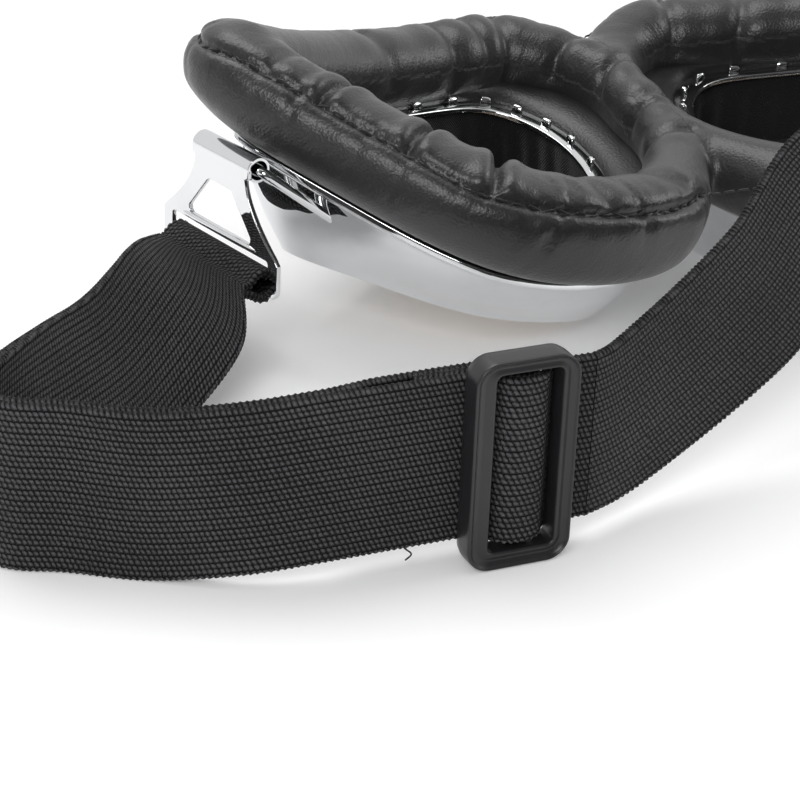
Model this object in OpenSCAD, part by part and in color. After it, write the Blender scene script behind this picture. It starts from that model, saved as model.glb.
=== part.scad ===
// Goggles with two pressed chrome cups, a stuffed face pad and an elastic head strap.
// They lie lens side down: X runs across both cups, Y from chin to forehead, Z away from the lenses.
// Each cup is drawn once for the +X side and mirrored for the other.

/* [Cups] */
// Reach of the pad's middle line from the nose to the temple
cup_reach = 79.5; // [70:0.5:90]
// Height of the pad's middle line from chin to forehead
cup_height = 67; // [60:0.5:74]
// Gap kept on each side between the nose plane and a cup's rim
rim_gap = 4; // [3.5:0.1:5]
// Height of the rim at the nose
rim_nose_z = 17.6; // [16.5:0.1:19]
// Rise of the rim from the nose to the temple
rim_sweep = 17.5; // [15:0.5:20]
// Rise of the rim per millimetre towards the forehead
rim_pitch = 0.15; // [0.1:0.01:0.18]
// Tilt of each lens plane, temple side up
lens_tilt = 12.5; // [10:0.5:14]
// Thickness of the pressed metal
shell_th = 0.8; // [0.6:0.05:1]
// Inset of the bezel's front corner from the rim
bezel_in = 7; // [5:0.5:8]
// Inset of the lens opening from the rim
opening_in = 12; // [11:0.5:13]

/* [Lens and ring] */
// Thickness of each rubber gasket
gasket_th = 0.8; // [0.5:0.1:1]
// Thickness of the lens
lens_th = 2; // [1.6:0.1:2.4]
// Inset of the lens edge from the rim
lens_in = 9; // [8.8:0.1:9.4]
// Thickness of the retaining ring
ring_th = 0.8; // [0.6:0.1:1]
// Inset of the retaining ring's inner edge from the rim
ring_in = 12.2; // [11.5:0.1:13]
// Number of bent tabs on each retaining ring
tab_count = 8; // [6:1:10]
// Height of a tab above its ring
tab_h = 3; // [2:0.5:4]
// Width of a tab
tab_w = 5; // [4:0.5:6]

/* [Face pad] */
// Width of the stuffed roll at the chin and temple
pad_w = 17.8; // [16:0.2:18.4]
// Height of the roll's top above the rim, at the chin and temple
pad_h = 18.5; // [17:0.5:20]
// Thickness of the pad's backing band
base_th = 1.4; // [1:0.1:1.8]
// Width of the pad's backing band
base_w = 8; // [7:0.5:8.5]
// Thickness of the eye lining
lining_th = 1; // [0.8:0.1:1.2]
// Thickness of the clamp ring over the lining's top edge
clamp_th = 0.8; // [0.6:0.1:1]
// Reach of the clamp ring past the backing band
clamp_w = 2.6; // [2:0.1:3]
// Half width of the part of the pad that spans the nose
nose_half = 5.2; // [4.8:0.1:5.6]
// Depth of the seam channel along the roll
seam_depth = 0.8; // [0.4:0.1:1.2]
// Depth of the gathers beside the seam
gather_depth = 0.6; // [0.2:0.1:0.8]

/* [Temple hinges] */
// Distance of each barrel's axis beyond the pad's middle line at the temple
hinge_out = 2.8; // [2.5:0.1:3.5]
// Place of the barrels' middle along Y
hinge_y = -3; // [-4:0.5:-2]
// Height of the barrels' axis
hinge_z = 32.5; // [32:0.1:33]
// Turn of each hinge, its chin end inwards
hinge_turn = 14; // [10:0.5:16]
// Outer diameter of a barrel
barrel_od = 4.4; // [4.2:0.1:4.6]
// Bore of a barrel
barrel_id = 3.2; // [2.8:0.1:3.4]
// Length of a barrel
barrel_len = 16; // [14:0.5:17]
// Diameter of the staple's wire
wire_d = 1.7; // [1.4:0.1:2]
// Gap between a barrel's end and the staple's legs
staple_gap = 0.6; // [0.3:0.1:1]

/* [Strap bails] */
// Thickness of a bail's plate
plate_th = 0.9; // [0.8:0.05:1.1]
// Reach of the plate's foot beyond each edge of the strap
foot_over = 3.4; // [3:0.1:4]
// Drop from the barrel's axis to the plate's lower edge
plate_drop = 19.5; // [19:0.1:20]
// Height of the strap slot
slot_h = 3; // [2.6:0.1:3.2]
// Height of the bar under the slot
foot_bar = 3.1; // [2.8:0.1:3.4]
// Height of the bar between the slot and the window
cross_bar = 1.2; // [0.8:0.1:1.4]

/* [Nose bridge] */
// Height of the bridge hinge's axis
bridge_z = 14.5; // [14:0.1:14.8]
// Place of the bridge hinge's middle along Y
bridge_y = 7; // [6:0.5:8]
// Diameter of the bridge pin
bridge_pin_d = 2; // [1.6:0.1:2.2]
// Outer diameter of the knuckles
knuckle_d = 4; // [3.6:0.1:4.2]
// Length of the bridge hinge along Y
bridge_len = 13; // [12:0.5:14]
// Gap between knuckles
knuckle_gap = 0.3; // [0.2:0.05:0.4]
// Thickness of a bracket's leaf
leaf_th = 0.9; // [0.7:0.1:1]
// Head diameter of a bracket rivet
rivet_head_d = 2.6; // [2.2:0.1:3]
// Shank diameter of a bracket rivet
rivet_d = 1.4; // [1.2:0.1:1.6]

/* [Strap] */
// Width of the elastic
strap_w = 26; // [25:0.5:26.5]
// Thickness of the elastic
strap_th = 1.2; // [1:0.05:1.25]
// Distance between the middles of two layers
layer_pitch = 1.5; // [1.4:0.05:1.6]

/* [Slider] */
// Place of the slider's middle along X
slider_x = -70.9; // [-72:0.1:-70]
// Width of the slider along the strap
slider_w = 16.2; // [16:0.1:17.5]
// Reach of the slider beyond each edge of the strap
slider_over = 3.25; // [3.2:0.05:3.5]
// Depth of the slider's frame
slider_t = 4.6; // [4.5:0.1:5]
// Width of the slider's wide bar
wide_bar = 3.6; // [3:0.1:3.8]
// Width of the slider's narrow bar
thin_bar = 2.4; // [2:0.1:2.6]
// Width of the slider's centre bar
centre_bar = 2.2; // [1.8:0.1:2.4]

/* [Hidden] */
$fn = 48;
// Clearances
fit_gap = 0.1;      // between pieces that sit on each other
pin_play = 0.05;    // radial play of the bridge pin
press = 0.8;        // depth that a staple leg or rivet goes past the metal's outer face

// Sections round a cup and their count of sides
rings = 64;
pad_sides = 16;
// The roll's middle line, one row a point: share of the reach, of the height, of the roll's
// width and of its height. Temple, three forehead points, two at the nose, three chin points.
pad_line = [
    [1, 0.015, 1, 1], [0.82, 0.18, 0.92, 0.87], [0.515, 0.395, 0.82, 0.78], [0.18, 0.52, 0.76, 0.78],
    [0.012, 0.305, 0.56, 0.79], [0.018, -0.075, 0.56, 0.79], [0.21, -0.425, 0.86, 0.92],
    [0.57, -0.485, 1, 1], [0.86, -0.21, 1, 1]
];
points_round = len(pad_line);
cup_mid = [(rim_gap + cup_reach) / 2, 0];
cup_half = [(cup_reach - rim_gap) / 2, cup_height / 2];

// A smooth curve through b and c, with a and d beyond them
function curve(a, b, c, d, f) = 0.5 * (2 * b + (c - a) * f + (2 * a - 5 * b + 4 * c - d) * f * f
    + (3 * b - a - 3 * c + d) * f * f * f);
// The same round a closed list of points, u counting points
function round_at(p, u0) = let (n = len(p), u = u0 < 0 ? u0 + n : u0, k = floor(u), f = u - k)
    curve(p[(k + n - 1) % n], p[k % n], p[(k + 1) % n], p[(k + 2) % n], f);
// The same along an open list whose first and last points only give the direction
function run_at(p, u) = let (k = min(floor(u), len(p) - 4), f = u - k)
    curve(p[k], p[k + 1], p[k + 2], p[k + 3], f);
function unit(v) = v / norm(v);
function arc(c, r, a0, a1, n = 6) = [for (s = [0 : n]) let (a = a0 + (a1 - a0) * s / n)
    c + r * [cos(a), sin(a)]];
function mix(a, b, f) = a + (b - a) * f;

// Faces of a body made of rows of k points, closed on itself or capped
function side_faces(rows, k, closed) = [
    for (r = [0 : rows - (closed ? 1 : 2)]) for (i = [0 : k - 1])
        let (a = r * k + i, b = r * k + (i + 1) % k,
             c = ((r + 1) % rows) * k + (i + 1) % k, d = ((r + 1) % rows) * k + i)
        each [[a, b, c], [a, c, d]]
];
function cap_faces(rows, k) = [
    for (i = [1 : k - 2]) each [[0, i + 1, i], [(rows - 1) * k, (rows - 1) * k + i,
        (rows - 1) * k + i + 1]]
];
module swept(rows, closed = true) {
    k = len(rows[0]);
    polyhedron(
        points = [for (r = rows) each r],
        faces = concat(side_faces(len(rows), k, closed), closed ? [] : cap_faces(len(rows), k))
    );
}

// Outline of a cup
function line_at(u) = let (p = round_at(pad_line, u)) [p[0] * cup_reach, p[1] * cup_height];
function shares_at(u) = let (p = round_at(pad_line, u)) [p[2], p[3]];
function rim_z(q) = rim_nose_z + rim_sweep * pow(q[0] / cup_reach, 2) + rim_pitch * q[1];
// Plan point of the metal cup, inset from its rim
function cup_plan(u, inset) = let (p = line_at(u),
    q = [rim_gap + p[0] * (1 - rim_gap / cup_reach), p[1]])
    [for (i = [0, 1]) cup_mid[i] + (q[i] - cup_mid[i]) * (1 - inset / cup_half[i])];
function rim_point(u, inset, dz) = let (q = cup_plan(u, inset)) [q[0], q[1], rim_z(q) + dz];
// The lens plane is tilted about Y and set so that the bezel's edge touches z = 0
bezel_low = -min([for (s = [0 : rings - 1]) cup_plan(s * points_round / rings, bezel_in + 1)[0]])
    * tan(lens_tilt);
function in_lens_plane(q, w) = let (a = q[0] / cos(lens_tilt))
    [a * cos(lens_tilt) - w * sin(lens_tilt), q[1],
     bezel_low + a * sin(lens_tilt) + w * cos(lens_tilt)];
function bezel_point(u, inset, w) = in_lens_plane(cup_plan(u, inset), w);
function station(s, n = rings) = s * points_round / n;

// The side wall runs from under the rim to the bezel's corner, a little bellied
belly = 0.8;
function wall_point(u, f, inner) = let (top = rim_point(u, 0.7, -1.8),
    foot = bezel_point(u, bezel_in, 1.4), mid = mix(top, foot, f),
    out = belly * sin(180 * f) - inner, c = [cup_mid[0], cup_mid[1], mid[2]],
    d = unit(mid - c)) mid + out * d;

module cup_frame() {
    function section(u) = [
        rim_point(u, -0.8, 0), rim_point(u, -0.8, -1.3), wall_point(u, 0, 0), wall_point(u, 0.35, 0),
        wall_point(u, 0.7, 0), wall_point(u, 1, 0), bezel_point(u, bezel_in + 1, 0),
        bezel_point(u, opening_in, 0), bezel_point(u, opening_in, shell_th),
        bezel_point(u, bezel_in + 1.6, shell_th), wall_point(u, 1, shell_th),
        wall_point(u, 0.7, shell_th), wall_point(u, 0.35, shell_th), wall_point(u, 0.03, shell_th),
        rim_point(u, 4, -shell_th), rim_point(u, 4, 0)
    ];
    color("silver") swept([for (s = [0 : rings - 1]) section(station(s))]);
}

// Flat pieces in the lens plane
function plane_outline(inset) = [for (s = [0 : rings - 1])
    let (q = cup_plan(station(s), inset)) [q[0] / cos(lens_tilt), q[1]]];
module in_plane(w) {
    translate([0, 0, bezel_low]) rotate([0, -lens_tilt, 0]) translate([0, 0, w]) children();
}
module flat_ring(outer, inner, th) {
    linear_extrude(th) difference() {
        polygon(plane_outline(outer));
        polygon(plane_outline(inner));
    }
}
module cup_gasket() {
    color("black") in_plane(shell_th) flat_ring(lens_in, opening_in - 0.3, gasket_th);
}
lens_z = shell_th + gasket_th;
ring_z = lens_z + lens_th;
module cup_lens() {
    color([0.23, 0.2, 0.17, 0.7]) in_plane(lens_z) linear_extrude(lens_th)
        polygon(plane_outline(lens_in));
}
module cup_ring() {
    color("silver") in_plane(ring_z) {
        flat_ring(lens_in, ring_in, ring_th);
        for (t = [0 : tab_count - 1]) {
            u = (t + 0.5) * points_round / tab_count;
            a = cup_plan(u - 0.05, lens_in);
            b = cup_plan(u + 0.05, lens_in);
            m = (a + b) / 2;
            translate([m[0] / cos(lens_tilt), m[1], 0])
                rotate([0, 0, atan2(b[1] - a[1], b[0] - a[0])])
                    translate([-tab_w / 2, 0.5, 0]) cube([tab_w, ring_th, ring_th + tab_h]);
        }
    }
}

// Backing band on the rim, and the lining that hangs from it into the eye opening
module cup_pad_base() {
    function section(u) = [rim_point(u, 0, fit_gap + base_th), rim_point(u, 0, fit_gap),
        rim_point(u, base_w, fit_gap), rim_point(u, base_w, fit_gap + base_th)];
    color([0.1, 0.1, 0.1]) swept([for (s = [0 : rings - 1]) section(station(s))]);
}
lining_foot = ring_z + ring_th + tab_h + 0.4;
module cup_lining() {
    top_in = base_w + fit_gap;
    foot_in = lens_in + 0.4;
    function section(u) = [rim_point(u, top_in, base_th), bezel_point(u, foot_in, lining_foot),
        bezel_point(u, foot_in + lining_th, lining_foot), rim_point(u, top_in + lining_th, base_th)];
    color([0.12, 0.12, 0.12]) swept([for (s = [0 : rings - 1]) section(station(s))]);
}

// Clamp ring on the lining's top edge and the band's inner edge
module cup_clamp() {
    low = base_th + 2 * fit_gap;
    high = low + clamp_th;
    outer = base_w - clamp_th;
    inner = base_w + clamp_w;
    function section(u) = [rim_point(u, outer, high), rim_point(u, outer, low),
        rim_point(u, inner, low), rim_point(u, inner, high)];
    color("silver") swept([for (s = [0 : rings - 1]) section(station(s))]);
}

// The stuffed roll: flat under, crowned over, with the seam channel and gathers beside it
seam_angle = 45;
gather_angle = seam_angle + 360 / pad_sides;
gather_runs = 1.5;
roll_foot = base_th + 2 * fit_gap;
function roll_section(u) = let (
    p = line_at(u), d = line_at(u + 0.02) - line_at(u - 0.02),
    out = unit([d[1], -d[0], 0]), sh = shares_at(u),
    half_w = sh[0] * pad_w / 2, half_h = (sh[1] * pad_h - roll_foot) / 2,
    z0 = rim_z(p) + roll_foot + half_h,
    gather = gather_depth * max(0, sin(360 * u * gather_runs)) * max(0, sin(u * 360 / points_round + 40))
) [for (i = [0 : pad_sides - 1]) let (a = 360 * i / pad_sides,
    dip = abs(a - seam_angle) < 1 ? seam_depth : abs(a - gather_angle) < 1 ? gather : 0,
    lift = sin(a) < 0 ? -min(1, -1.15 * sin(a)) : sin(a))
    let (q = [p[0], p[1], z0] + (half_w - dip) * cos(a) * out)
    q + [0, 0, (half_h - dip) * lift + max(0, -lift) * (rim_z(q) - rim_z(p))]];
module roll() {
    swept([for (s = [0 : rings - 1]) roll_section(station(s))]);
}
nose_split = 0.15;
big = 400;
module cup_pad() {
    color([0.16, 0.16, 0.17]) difference() {
        roll();
        translate([-big / 2 + nose_half + nose_split, -big / 2, -big / 2]) cube([big / 2, big, big]);
    }
}
module nose_piece() {
    color([0.16, 0.16, 0.17]) intersection() {
        union() {
            roll();
            mirror([1, 0, 0]) roll();
        }
        translate([-nose_half + nose_split, -big / 2, -big / 2])
            cube([2 * (nose_half - nose_split), big, big]);
    }
}

// A round rod between two points
module rod(a, b, d) {
    v = b - a;
    translate(a) rotate([0, acos(v[2] / norm(v)), atan2(v[1], v[0])]) cylinder(h = norm(v), d = d);
}
// An outline of even width along a path
function path_dir(p, i) = unit(unit(p[min(i + 1, len(p) - 1)] - p[i == len(p) - 1 ? i - 1 : i])
    + unit(p[i == 0 ? 1 : i] - p[max(i - 1, 0)]));
function path_side(p, i, w) = let (d = path_dir(p, i), e = unit(p[i == 0 ? 1 : i] - p[max(i - 1, 0)]),
    s = w / max(0.5, d * e)) p[i] + [-d[1], d[0]] * s;
function band(p, w) = concat([for (i = [0 : len(p) - 1]) path_side(p, i, w / 2)],
    [for (i = [len(p) - 1 : -1 : 0]) path_side(p, i, -w / 2)]);
// A polygon with a radius at each corner, listed counterclockwise as x, y, radius
function rounded(p) = [for (i = [0 : len(p) - 1]) let (
    q = [p[i][0], p[i][1]], a0 = p[(i + len(p) - 1) % len(p)], b0 = p[(i + 1) % len(p)],
    a = unit([a0[0], a0[1]] - q), b = unit([b0[0], b0[1]] - q), half = acos(a * b) / 2,
    c = q + unit(a + b) * p[i][2] / sin(half), start = atan2(-a[0], a[1]) + 180,
    turn = 180 - 2 * half)
    for (s = [0 : 6]) let (t = atan2((q + a * p[i][2] / tan(half) - c)[1],
        (q + a * p[i][2] / tan(half) - c)[0]) + turn * s / 6) c + p[i][2] * [cos(t), sin(t)]];
// Extrude a drawing made in X and Z along Y, or one made in Y and Z along X
module along_y(y0, y1) {
    translate([0, y1, 0]) rotate([90, 0, 0]) linear_extrude(y1 - y0) children();
}
module along_x(x0, x1) {
    translate([x0, 0, 0]) rotate([90, 0, 90]) linear_extrude(x1 - x0) children();
}

// Temple hinge: a wire staple through the bail's rolled barrel. A place on it is given as
// a distance out from the barrel's axis and one along that axis, and is turned with the hinge.
hinge_x = cup_reach + hinge_out;
function hinge_spot(out, along) = [hinge_x + out * cos(hinge_turn) + along * sin(hinge_turn),
    hinge_y - out * sin(hinge_turn) + along * cos(hinge_turn)];
module turned_hinge() {
    translate([hinge_x, hinge_y, 0]) rotate([0, 0, -hinge_turn]) translate([-hinge_x, -hinge_y, 0])
        children();
}
leg_reach = barrel_len / 2 + staple_gap + wire_d / 2;
function rank(list, i) = [for (v = list) if (v[0] == i) v[1]][0];
function wall_u(y, from, to, f) = let (step = (to - from) / 60,
    miss = [for (k = [0 : 60]) [abs(wall_point(from + k * step + points_round, f, 0)[1] - y), k]],
    best = min([for (m = miss) m[0]])) from + rank(miss, best) * step + points_round;
function leg_foot(y) = let (u = wall_u(y, -1.3, 1.3, 0.3), w = wall_point(u, 0.3, 0),
    v = unit([cup_mid[0], cup_mid[1], w[2]] - w)) w + v * press;
module staple() {
    color("silver") {
        ends = [for (s = [-1, 1]) [each hinge_spot(0, s * leg_reach), hinge_z]];
        rod(ends[0], ends[1], wire_d);
        for (e = ends) {
            translate(e) sphere(d = wire_d);
            rod(e, leg_foot(e[1]), wire_d);
        }
    }
}

// Bail: barrel, flared plate, window, cross bar and strap slot. Drawn as Y and Z from the axis.
neck = barrel_len / 2;
corner = 1.2;
slot_top = -(plate_drop - foot_bar - slot_h);
window_foot = slot_top + cross_bar;
flare_top = -1.5;
flare_foot = slot_top + 0.3;
foot_w = strap_w + 2 * foot_over;
slot_half = strap_w / 2 + 0.8;
window_half = 8.4;
window_top_half = 3.2;
window_top = -4.5;
function flank(f) = [neck - 0.8 + (foot_w / 2 - neck + 0.8) * pow(f, 1.7),
    flare_top + (flare_foot - flare_top) * f];
module bail_plate() {
    edge = [for (s = [0 : 10]) flank(s / 10)];
    difference() {
        polygon(concat(
            [[neck, 0], [neck, flare_top + 0.4]], edge,
            [[foot_w / 2, -plate_drop + corner], [foot_w / 2 - corner, -plate_drop]],
            [[corner - foot_w / 2, -plate_drop], [-foot_w / 2, -plate_drop + corner]],
            [for (s = [10 : -1 : 0]) [-edge[s][0], edge[s][1]]],
            [[-neck, flare_top + 0.4], [-neck, 0]]
        ));
        polygon(rounded([[-window_half - 1.5, window_foot, 0.9], [window_half + 1.5, window_foot, 0.9],
            [window_top_half, window_top, 1.6], [-window_top_half, window_top, 1.6]]));
        polygon(rounded([[-slot_half, slot_top - slot_h, 0.6], [slot_half, slot_top - slot_h, 0.6],
            [slot_half, slot_top, 0.6], [-slot_half, slot_top, 0.6]]));
    }
}
plate_x = hinge_x + barrel_od / 2 - plate_th;
module bail() {
    color("silver") turned_hinge() difference() {
        union() {
            along_y_at(hinge_y - barrel_len / 2, hinge_y + barrel_len / 2) circle(d = barrel_od);
            translate([0, hinge_y, hinge_z]) along_x(plate_x, plate_x + plate_th) bail_plate();
        }
        along_y_at(hinge_y - big, hinge_y + big) circle(d = barrel_id);
    }
}
module along_y_at(y0, y1) {
    along_y(y0, y1) translate([hinge_x, hinge_z]) children();
}

// The strap's turn round a bail's bar
bar_x = plate_x + plate_th / 2;
bar_z = hinge_z - plate_drop + foot_bar / 2;
lead_x = bar_x + 4.2;
lead_z = bar_z - 0.15;
wrap = (plate_th + strap_th) / 2 + 0.3;
sewn_gap = 0.6;
module strap_turn() {
    half = layer_pitch / 2;
    over = (foot_bar + strap_th) / 2 + 0.25;
    turn_end = lead_x - sewn_gap;
    path = [
        [turn_end, lead_z + half], [bar_x + 3, lead_z + half], [bar_x + 1.6, bar_z + over - 0.4],
        [bar_x + 0.4, bar_z + over], [bar_x - 0.5, bar_z + over - 0.1],
        [bar_x - wrap, bar_z + over - 0.8], [bar_x - wrap, bar_z - over + 0.8],
        [bar_x - 0.5, bar_z - over + 0.1], [bar_x + 0.4, bar_z - over],
        [bar_x + 1.6, bar_z - over + 0.5], [bar_x + 3, lead_z - half], [turn_end, lead_z - half]
    ];
    color([0.1, 0.1, 0.1]) turned_hinge() along_y(hinge_y - strap_w / 2, hinge_y + strap_w / 2)
        polygon(band(path, strap_th));
}
stitch_rank = 5;
stitch_pitch = strap_w / 12;
stitch = 0.72 * stitch_pitch;
module turn_stitches() {
    color([0.2, 0.2, 0.2]) turned_hinge() for (s = [-stitch_rank : stitch_rank])
        translate([lead_x - sewn_gap - 0.3, hinge_y + s * stitch_pitch - stitch / 2,
            lead_z + (layer_pitch + strap_th) / 2]) cube([0.3, stitch, 0.3]);
}

// Nose bridge: two riveted leaves on one pin
function nose_u(y) = wall_u(y, 3.6 - points_round, 5.4 - points_round, 0.3);
leaf_u = nose_u(bridge_y);
leaf_off = [-(leaf_th / 2 + 3 * fit_gap), 0];
function leaf_spot(f) = let (w = wall_point(leaf_u, f, 0)) [w[0], w[2]] + leaf_off;
leaf_top = leaf_spot(0.1);
leaf_foot = leaf_spot(0.55);
leaf_dir = unit(leaf_foot - leaf_top);
leaf_out = [leaf_dir[1], -leaf_dir[0]];
knuckle_len = (bridge_len - 2 * knuckle_gap) / 3;
module knuckle(y0) {
    along_y(y0, y0 + knuckle_len) {
        translate([0, bridge_z]) circle(d = knuckle_d);
        polygon(band([[0.6, bridge_z - knuckle_d / 2 + leaf_th / 2], leaf_top], leaf_th));
    }
}
rivet_ys = [for (s = [-1, 1]) bridge_y + s * bridge_len * 0.28];
function rivet_at(f) = mix(leaf_top, leaf_foot, f);
function on_y(q, y) = [q[0], y, q[1]];
module bracket(starts) {
    first = bridge_y - bridge_len / 2;
    color("silver") difference() {
        union() {
            along_y(first, first + bridge_len) polygon(band([leaf_top, leaf_foot], leaf_th));
            for (k = starts) knuckle(first + k * (knuckle_len + knuckle_gap));
        }
        rod([0, -big, bridge_z], [0, big, bridge_z], bridge_pin_d + 2 * pin_play);
        for (y = rivet_ys)
            rod(on_y(rivet_at(0.6) - leaf_out * 3, y), on_y(rivet_at(0.6) + leaf_out * 3, y), rivet_d);
    }
}
module rivets() {
    face = rivet_at(0.6) + leaf_out * (leaf_th / 2);
    color("silver") for (y = rivet_ys) {
        rod(on_y(face + leaf_out * 0.02, y), on_y(face + leaf_out * 0.7, y), rivet_head_d);
        rod(on_y(face + leaf_out * 0.3, y), on_y(face - leaf_out * (leaf_th + 1.5), y),
            rivet_d - 0.04);
    }
}
module bridge_pin() {
    end = bridge_len / 2 + 0.15;
    color("silver") {
        rod([0, bridge_y - end, bridge_z], [0, bridge_y + end, bridge_z], bridge_pin_d);
        for (s = [-1, 1])
            rod([0, bridge_y + s * end, bridge_z], [0, bridge_y + s * (end + 0.6), bridge_z], knuckle_d - 1);
    }
}

// Strap. Rows give the forehead-side or upper edge, then the chin-side or lower edge.
slider_h = strap_w + 2 * slider_over;
strap_lift = slider_over + fit_gap;
run_y = -84;
outer_y = run_y - layer_pitch / 2;
inner_y = run_y + layer_pitch / 2;
straight_from = -98;
function bail_row(x, side) = let (far = hinge_spot(x - hinge_x, strap_w / 2),
    near = hinge_spot(x - hinge_x, -strap_w / 2))
    [side * far[0], far[1], lead_z, side * near[0], near[1], lead_z];
function upright(x, y, z) = [x, y, z + strap_w, x, y, z];
left_route = [
    bail_row(lead_x - 4, -1), bail_row(lead_x, -1),
    [-102, -9, 21, -90, -27.5, 8.5], [-114, -26, 22, -104, -36, 0.5],
    [-124, -37, 23.5, -115, -47, 0.3], [-133, -48.5, 25.5, -128, -54, 0.3],
    [-138.5, -56, 26, -137.5, -58.5, 0], upright(-140, -62, 0), upright(-137.5, -65.8, 0),
    upright(-131, -68.8, 0), upright(-121, -75, 0), upright(-109.5, -81.4, 2),
    upright(straight_from, run_y, strap_lift), upright(straight_from + 12, run_y, strap_lift)
];
right_from = -58;
right_route = [
    upright(right_from - 8, outer_y, strap_lift), upright(right_from, outer_y, strap_lift),
    [-49, -80.5, 31, -44.5, -79.5, 4.5], [-27, -68, 37.5, -18, -71, 14], [-5, -53, 47, 4, -62, 25],
    [29, -49, 52.5, 30, -55, 27.5], [61, -48, 48.5, 57, -49.5, 23], [86, -37, 42, 77.5, -39, 17.8],
    [95, -16, 33, 88, -27, 10], bail_row(lead_x, 1), bail_row(lead_x - 4, 1)
];
span_steps = 6;
function edge_u(r) = [r[0], r[1], r[2]];
function edge_l(r) = [r[3], r[4], r[5]];
module ribbon(route, from, to, off) {
    n = ceil((to - from) * span_steps);
    rows = [for (s = [0 : n]) let (
        u = mix(from, to, s / n), r = run_at(route, u), q = run_at(route, u + 0.02),
        p = run_at(route, max(u - 0.02, 0)), d = edge_u(q) + edge_l(q) - edge_u(p) - edge_l(p),
        n0 = unit(cross(d, edge_u(r) - edge_l(r))), a = n0 * (off + strap_th / 2),
        b = n0 * (off - strap_th / 2))
        [edge_u(r) + a, edge_u(r) + b, edge_l(r) + b, edge_l(r) + a]];
    color([0.1, 0.1, 0.1]) swept(rows, false);
}
module both_layers(route, from, to) {
    ribbon(route, from, to, layer_pitch / 2);
    ribbon(route, from, to, -layer_pitch / 2);
}
lead_rows = 4;
module upright_band(path) {
    color([0.1, 0.1, 0.1]) translate([0, 0, strap_lift]) linear_extrude(strap_w)
        polygon(band(path, strap_th));
}

// Slider, with the strap woven through it and the strap's end sewn round its centre bar
slider_back = outer_y - strap_th / 2 - 0.15;
slider_front = slider_back - slider_t;
slider_left = slider_x - slider_w / 2;
slider_right = slider_x + slider_w / 2;
gap_left = slider_left + wide_bar;
gap_right = slider_right - thin_bar;
bar_mid = (gap_left + gap_right) / 2;
bar_t = 1.2;
rim_bar = 2.4;
next_layer = strap_th + 0.15;
sewn_y = outer_y + next_layer;
under_y = outer_y + 2 * next_layer;
weave_left = slider_left - 3.3;
tail_left = slider_left - 6.6;
module slider() {
    low = fit_gap;
    high = fit_gap + slider_h;
    color([0.2, 0.2, 0.21]) {
        along_y(slider_front, slider_back) difference() {
            polygon(rounded([[slider_left, low, 3.5], [slider_right, low, 3.5],
                [slider_right, high, 3.5], [slider_left, high, 3.5]]));
            polygon(rounded([[gap_left, low + rim_bar, 1], [gap_right, low + rim_bar, 1],
                [gap_right, high - rim_bar, 1], [gap_left, high - rim_bar, 1]]));
        }
        translate([bar_mid - centre_bar / 2, slider_back - bar_t, low + rim_bar - 0.5])
            cube([centre_bar, bar_t, slider_h - 2 * rim_bar + 1]);
    }
}
tail_front = slider_back - bar_t - strap_th / 2 - 0.15;
over_y = tail_front - next_layer;
half_bar = centre_bar / 2;
module strap_weave() {
    upright_band([[right_from - 3 * fit_gap, outer_y], [gap_right + 0.1, outer_y],
        [gap_right - 0.6, outer_y - 0.45], [bar_mid + half_bar + 1.5, over_y + 0.3],
        [bar_mid + half_bar + 0.5, over_y],
        [bar_mid - half_bar - 0.9, over_y], [bar_mid - half_bar - 1.85, over_y + 0.45],
        [gap_left + 0.55, outer_y - 0.4], [gap_left - 0.15, outer_y], [weave_left, outer_y]]);
}
module strap_tail() {
    rear = slider_back + strap_th / 2 + 0.15;
    turn = (rear - tail_front) / 2;
    middle = (rear + tail_front) / 2;
    inset = half_bar - 0.25;
    upright_band(concat(
        [[weave_left, under_y], [gap_left + 2, under_y], [bar_mid - 2.1, under_y - 0.8],
            [bar_mid - 1.1, rear + 0.35]],
        arc([bar_mid + inset, middle], turn, 90, -90), arc([bar_mid - inset, middle], turn, 270, 215),
        [[gap_left + 1.1, sewn_y], [tail_left, sewn_y]]));
}
module tail_stitches() {
    color([0.2, 0.2, 0.2]) for (x = [0.8, 1.8]) for (s = [-stitch_rank : stitch_rank])
        translate([weave_left + x, under_y + strap_th / 2,
            strap_lift + strap_w / 2 + s * stitch_pitch - stitch / 2])
            cube([0.5, 0.3, stitch]);
}
module strap_run_left() {
    from = straight_from + 3 * fit_gap;
    to = weave_left - fit_gap;
    upright_band([[from, outer_y], [to, outer_y]]);
    upright_band([[from, inner_y], [straight_from + 7, under_y - 0.15], [to, under_y]]);
}
module on_left() {
    mirror([1, 0, 0]) children();
}

on_left() cup_frame();  // left_frame
on_left() cup_gasket();  // left_lens_gasket
on_left() cup_lens();  // left_lens
on_left() cup_ring();  // left_retaining_ring
on_left() cup_pad_base();  // left_pad_base
on_left() cup_lining();  // left_eye_lining
on_left() cup_clamp();  // left_clamp_ring
on_left() cup_pad();  // left_pad
on_left() staple();  // left_hinge_staple
on_left() bracket([0, 2]);  // left_bridge_bracket
on_left() rivets();  // left_bracket_rivets
cup_frame();  // right_frame
cup_gasket();  // right_lens_gasket
cup_lens();  // right_lens
cup_ring();  // right_retaining_ring
cup_pad_base();  // right_pad_base
cup_lining();  // right_eye_lining
cup_clamp();  // right_clamp_ring
cup_pad();  // right_pad
staple();  // right_hinge_staple
bracket([1]);  // right_bridge_bracket
rivets();  // right_bracket_rivets
bridge_pin();
nose_piece();  // nose_pad
on_left() bail();  // left_bail
on_left() strap_turn();  // left_strap_loop
bail();  // right_bail
strap_turn();  // right_strap_loop
turn_stitches();  // right_loop_stitches
slider();
strap_weave();
strap_tail();
tail_stitches();
both_layers(left_route, 0, lead_rows);  // strap_left_lead
both_layers(left_route, lead_rows, len(left_route) - 3);  // strap_bend
strap_run_left();
ribbon(right_route, 0, 1, 0);  // strap_run_right
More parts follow.
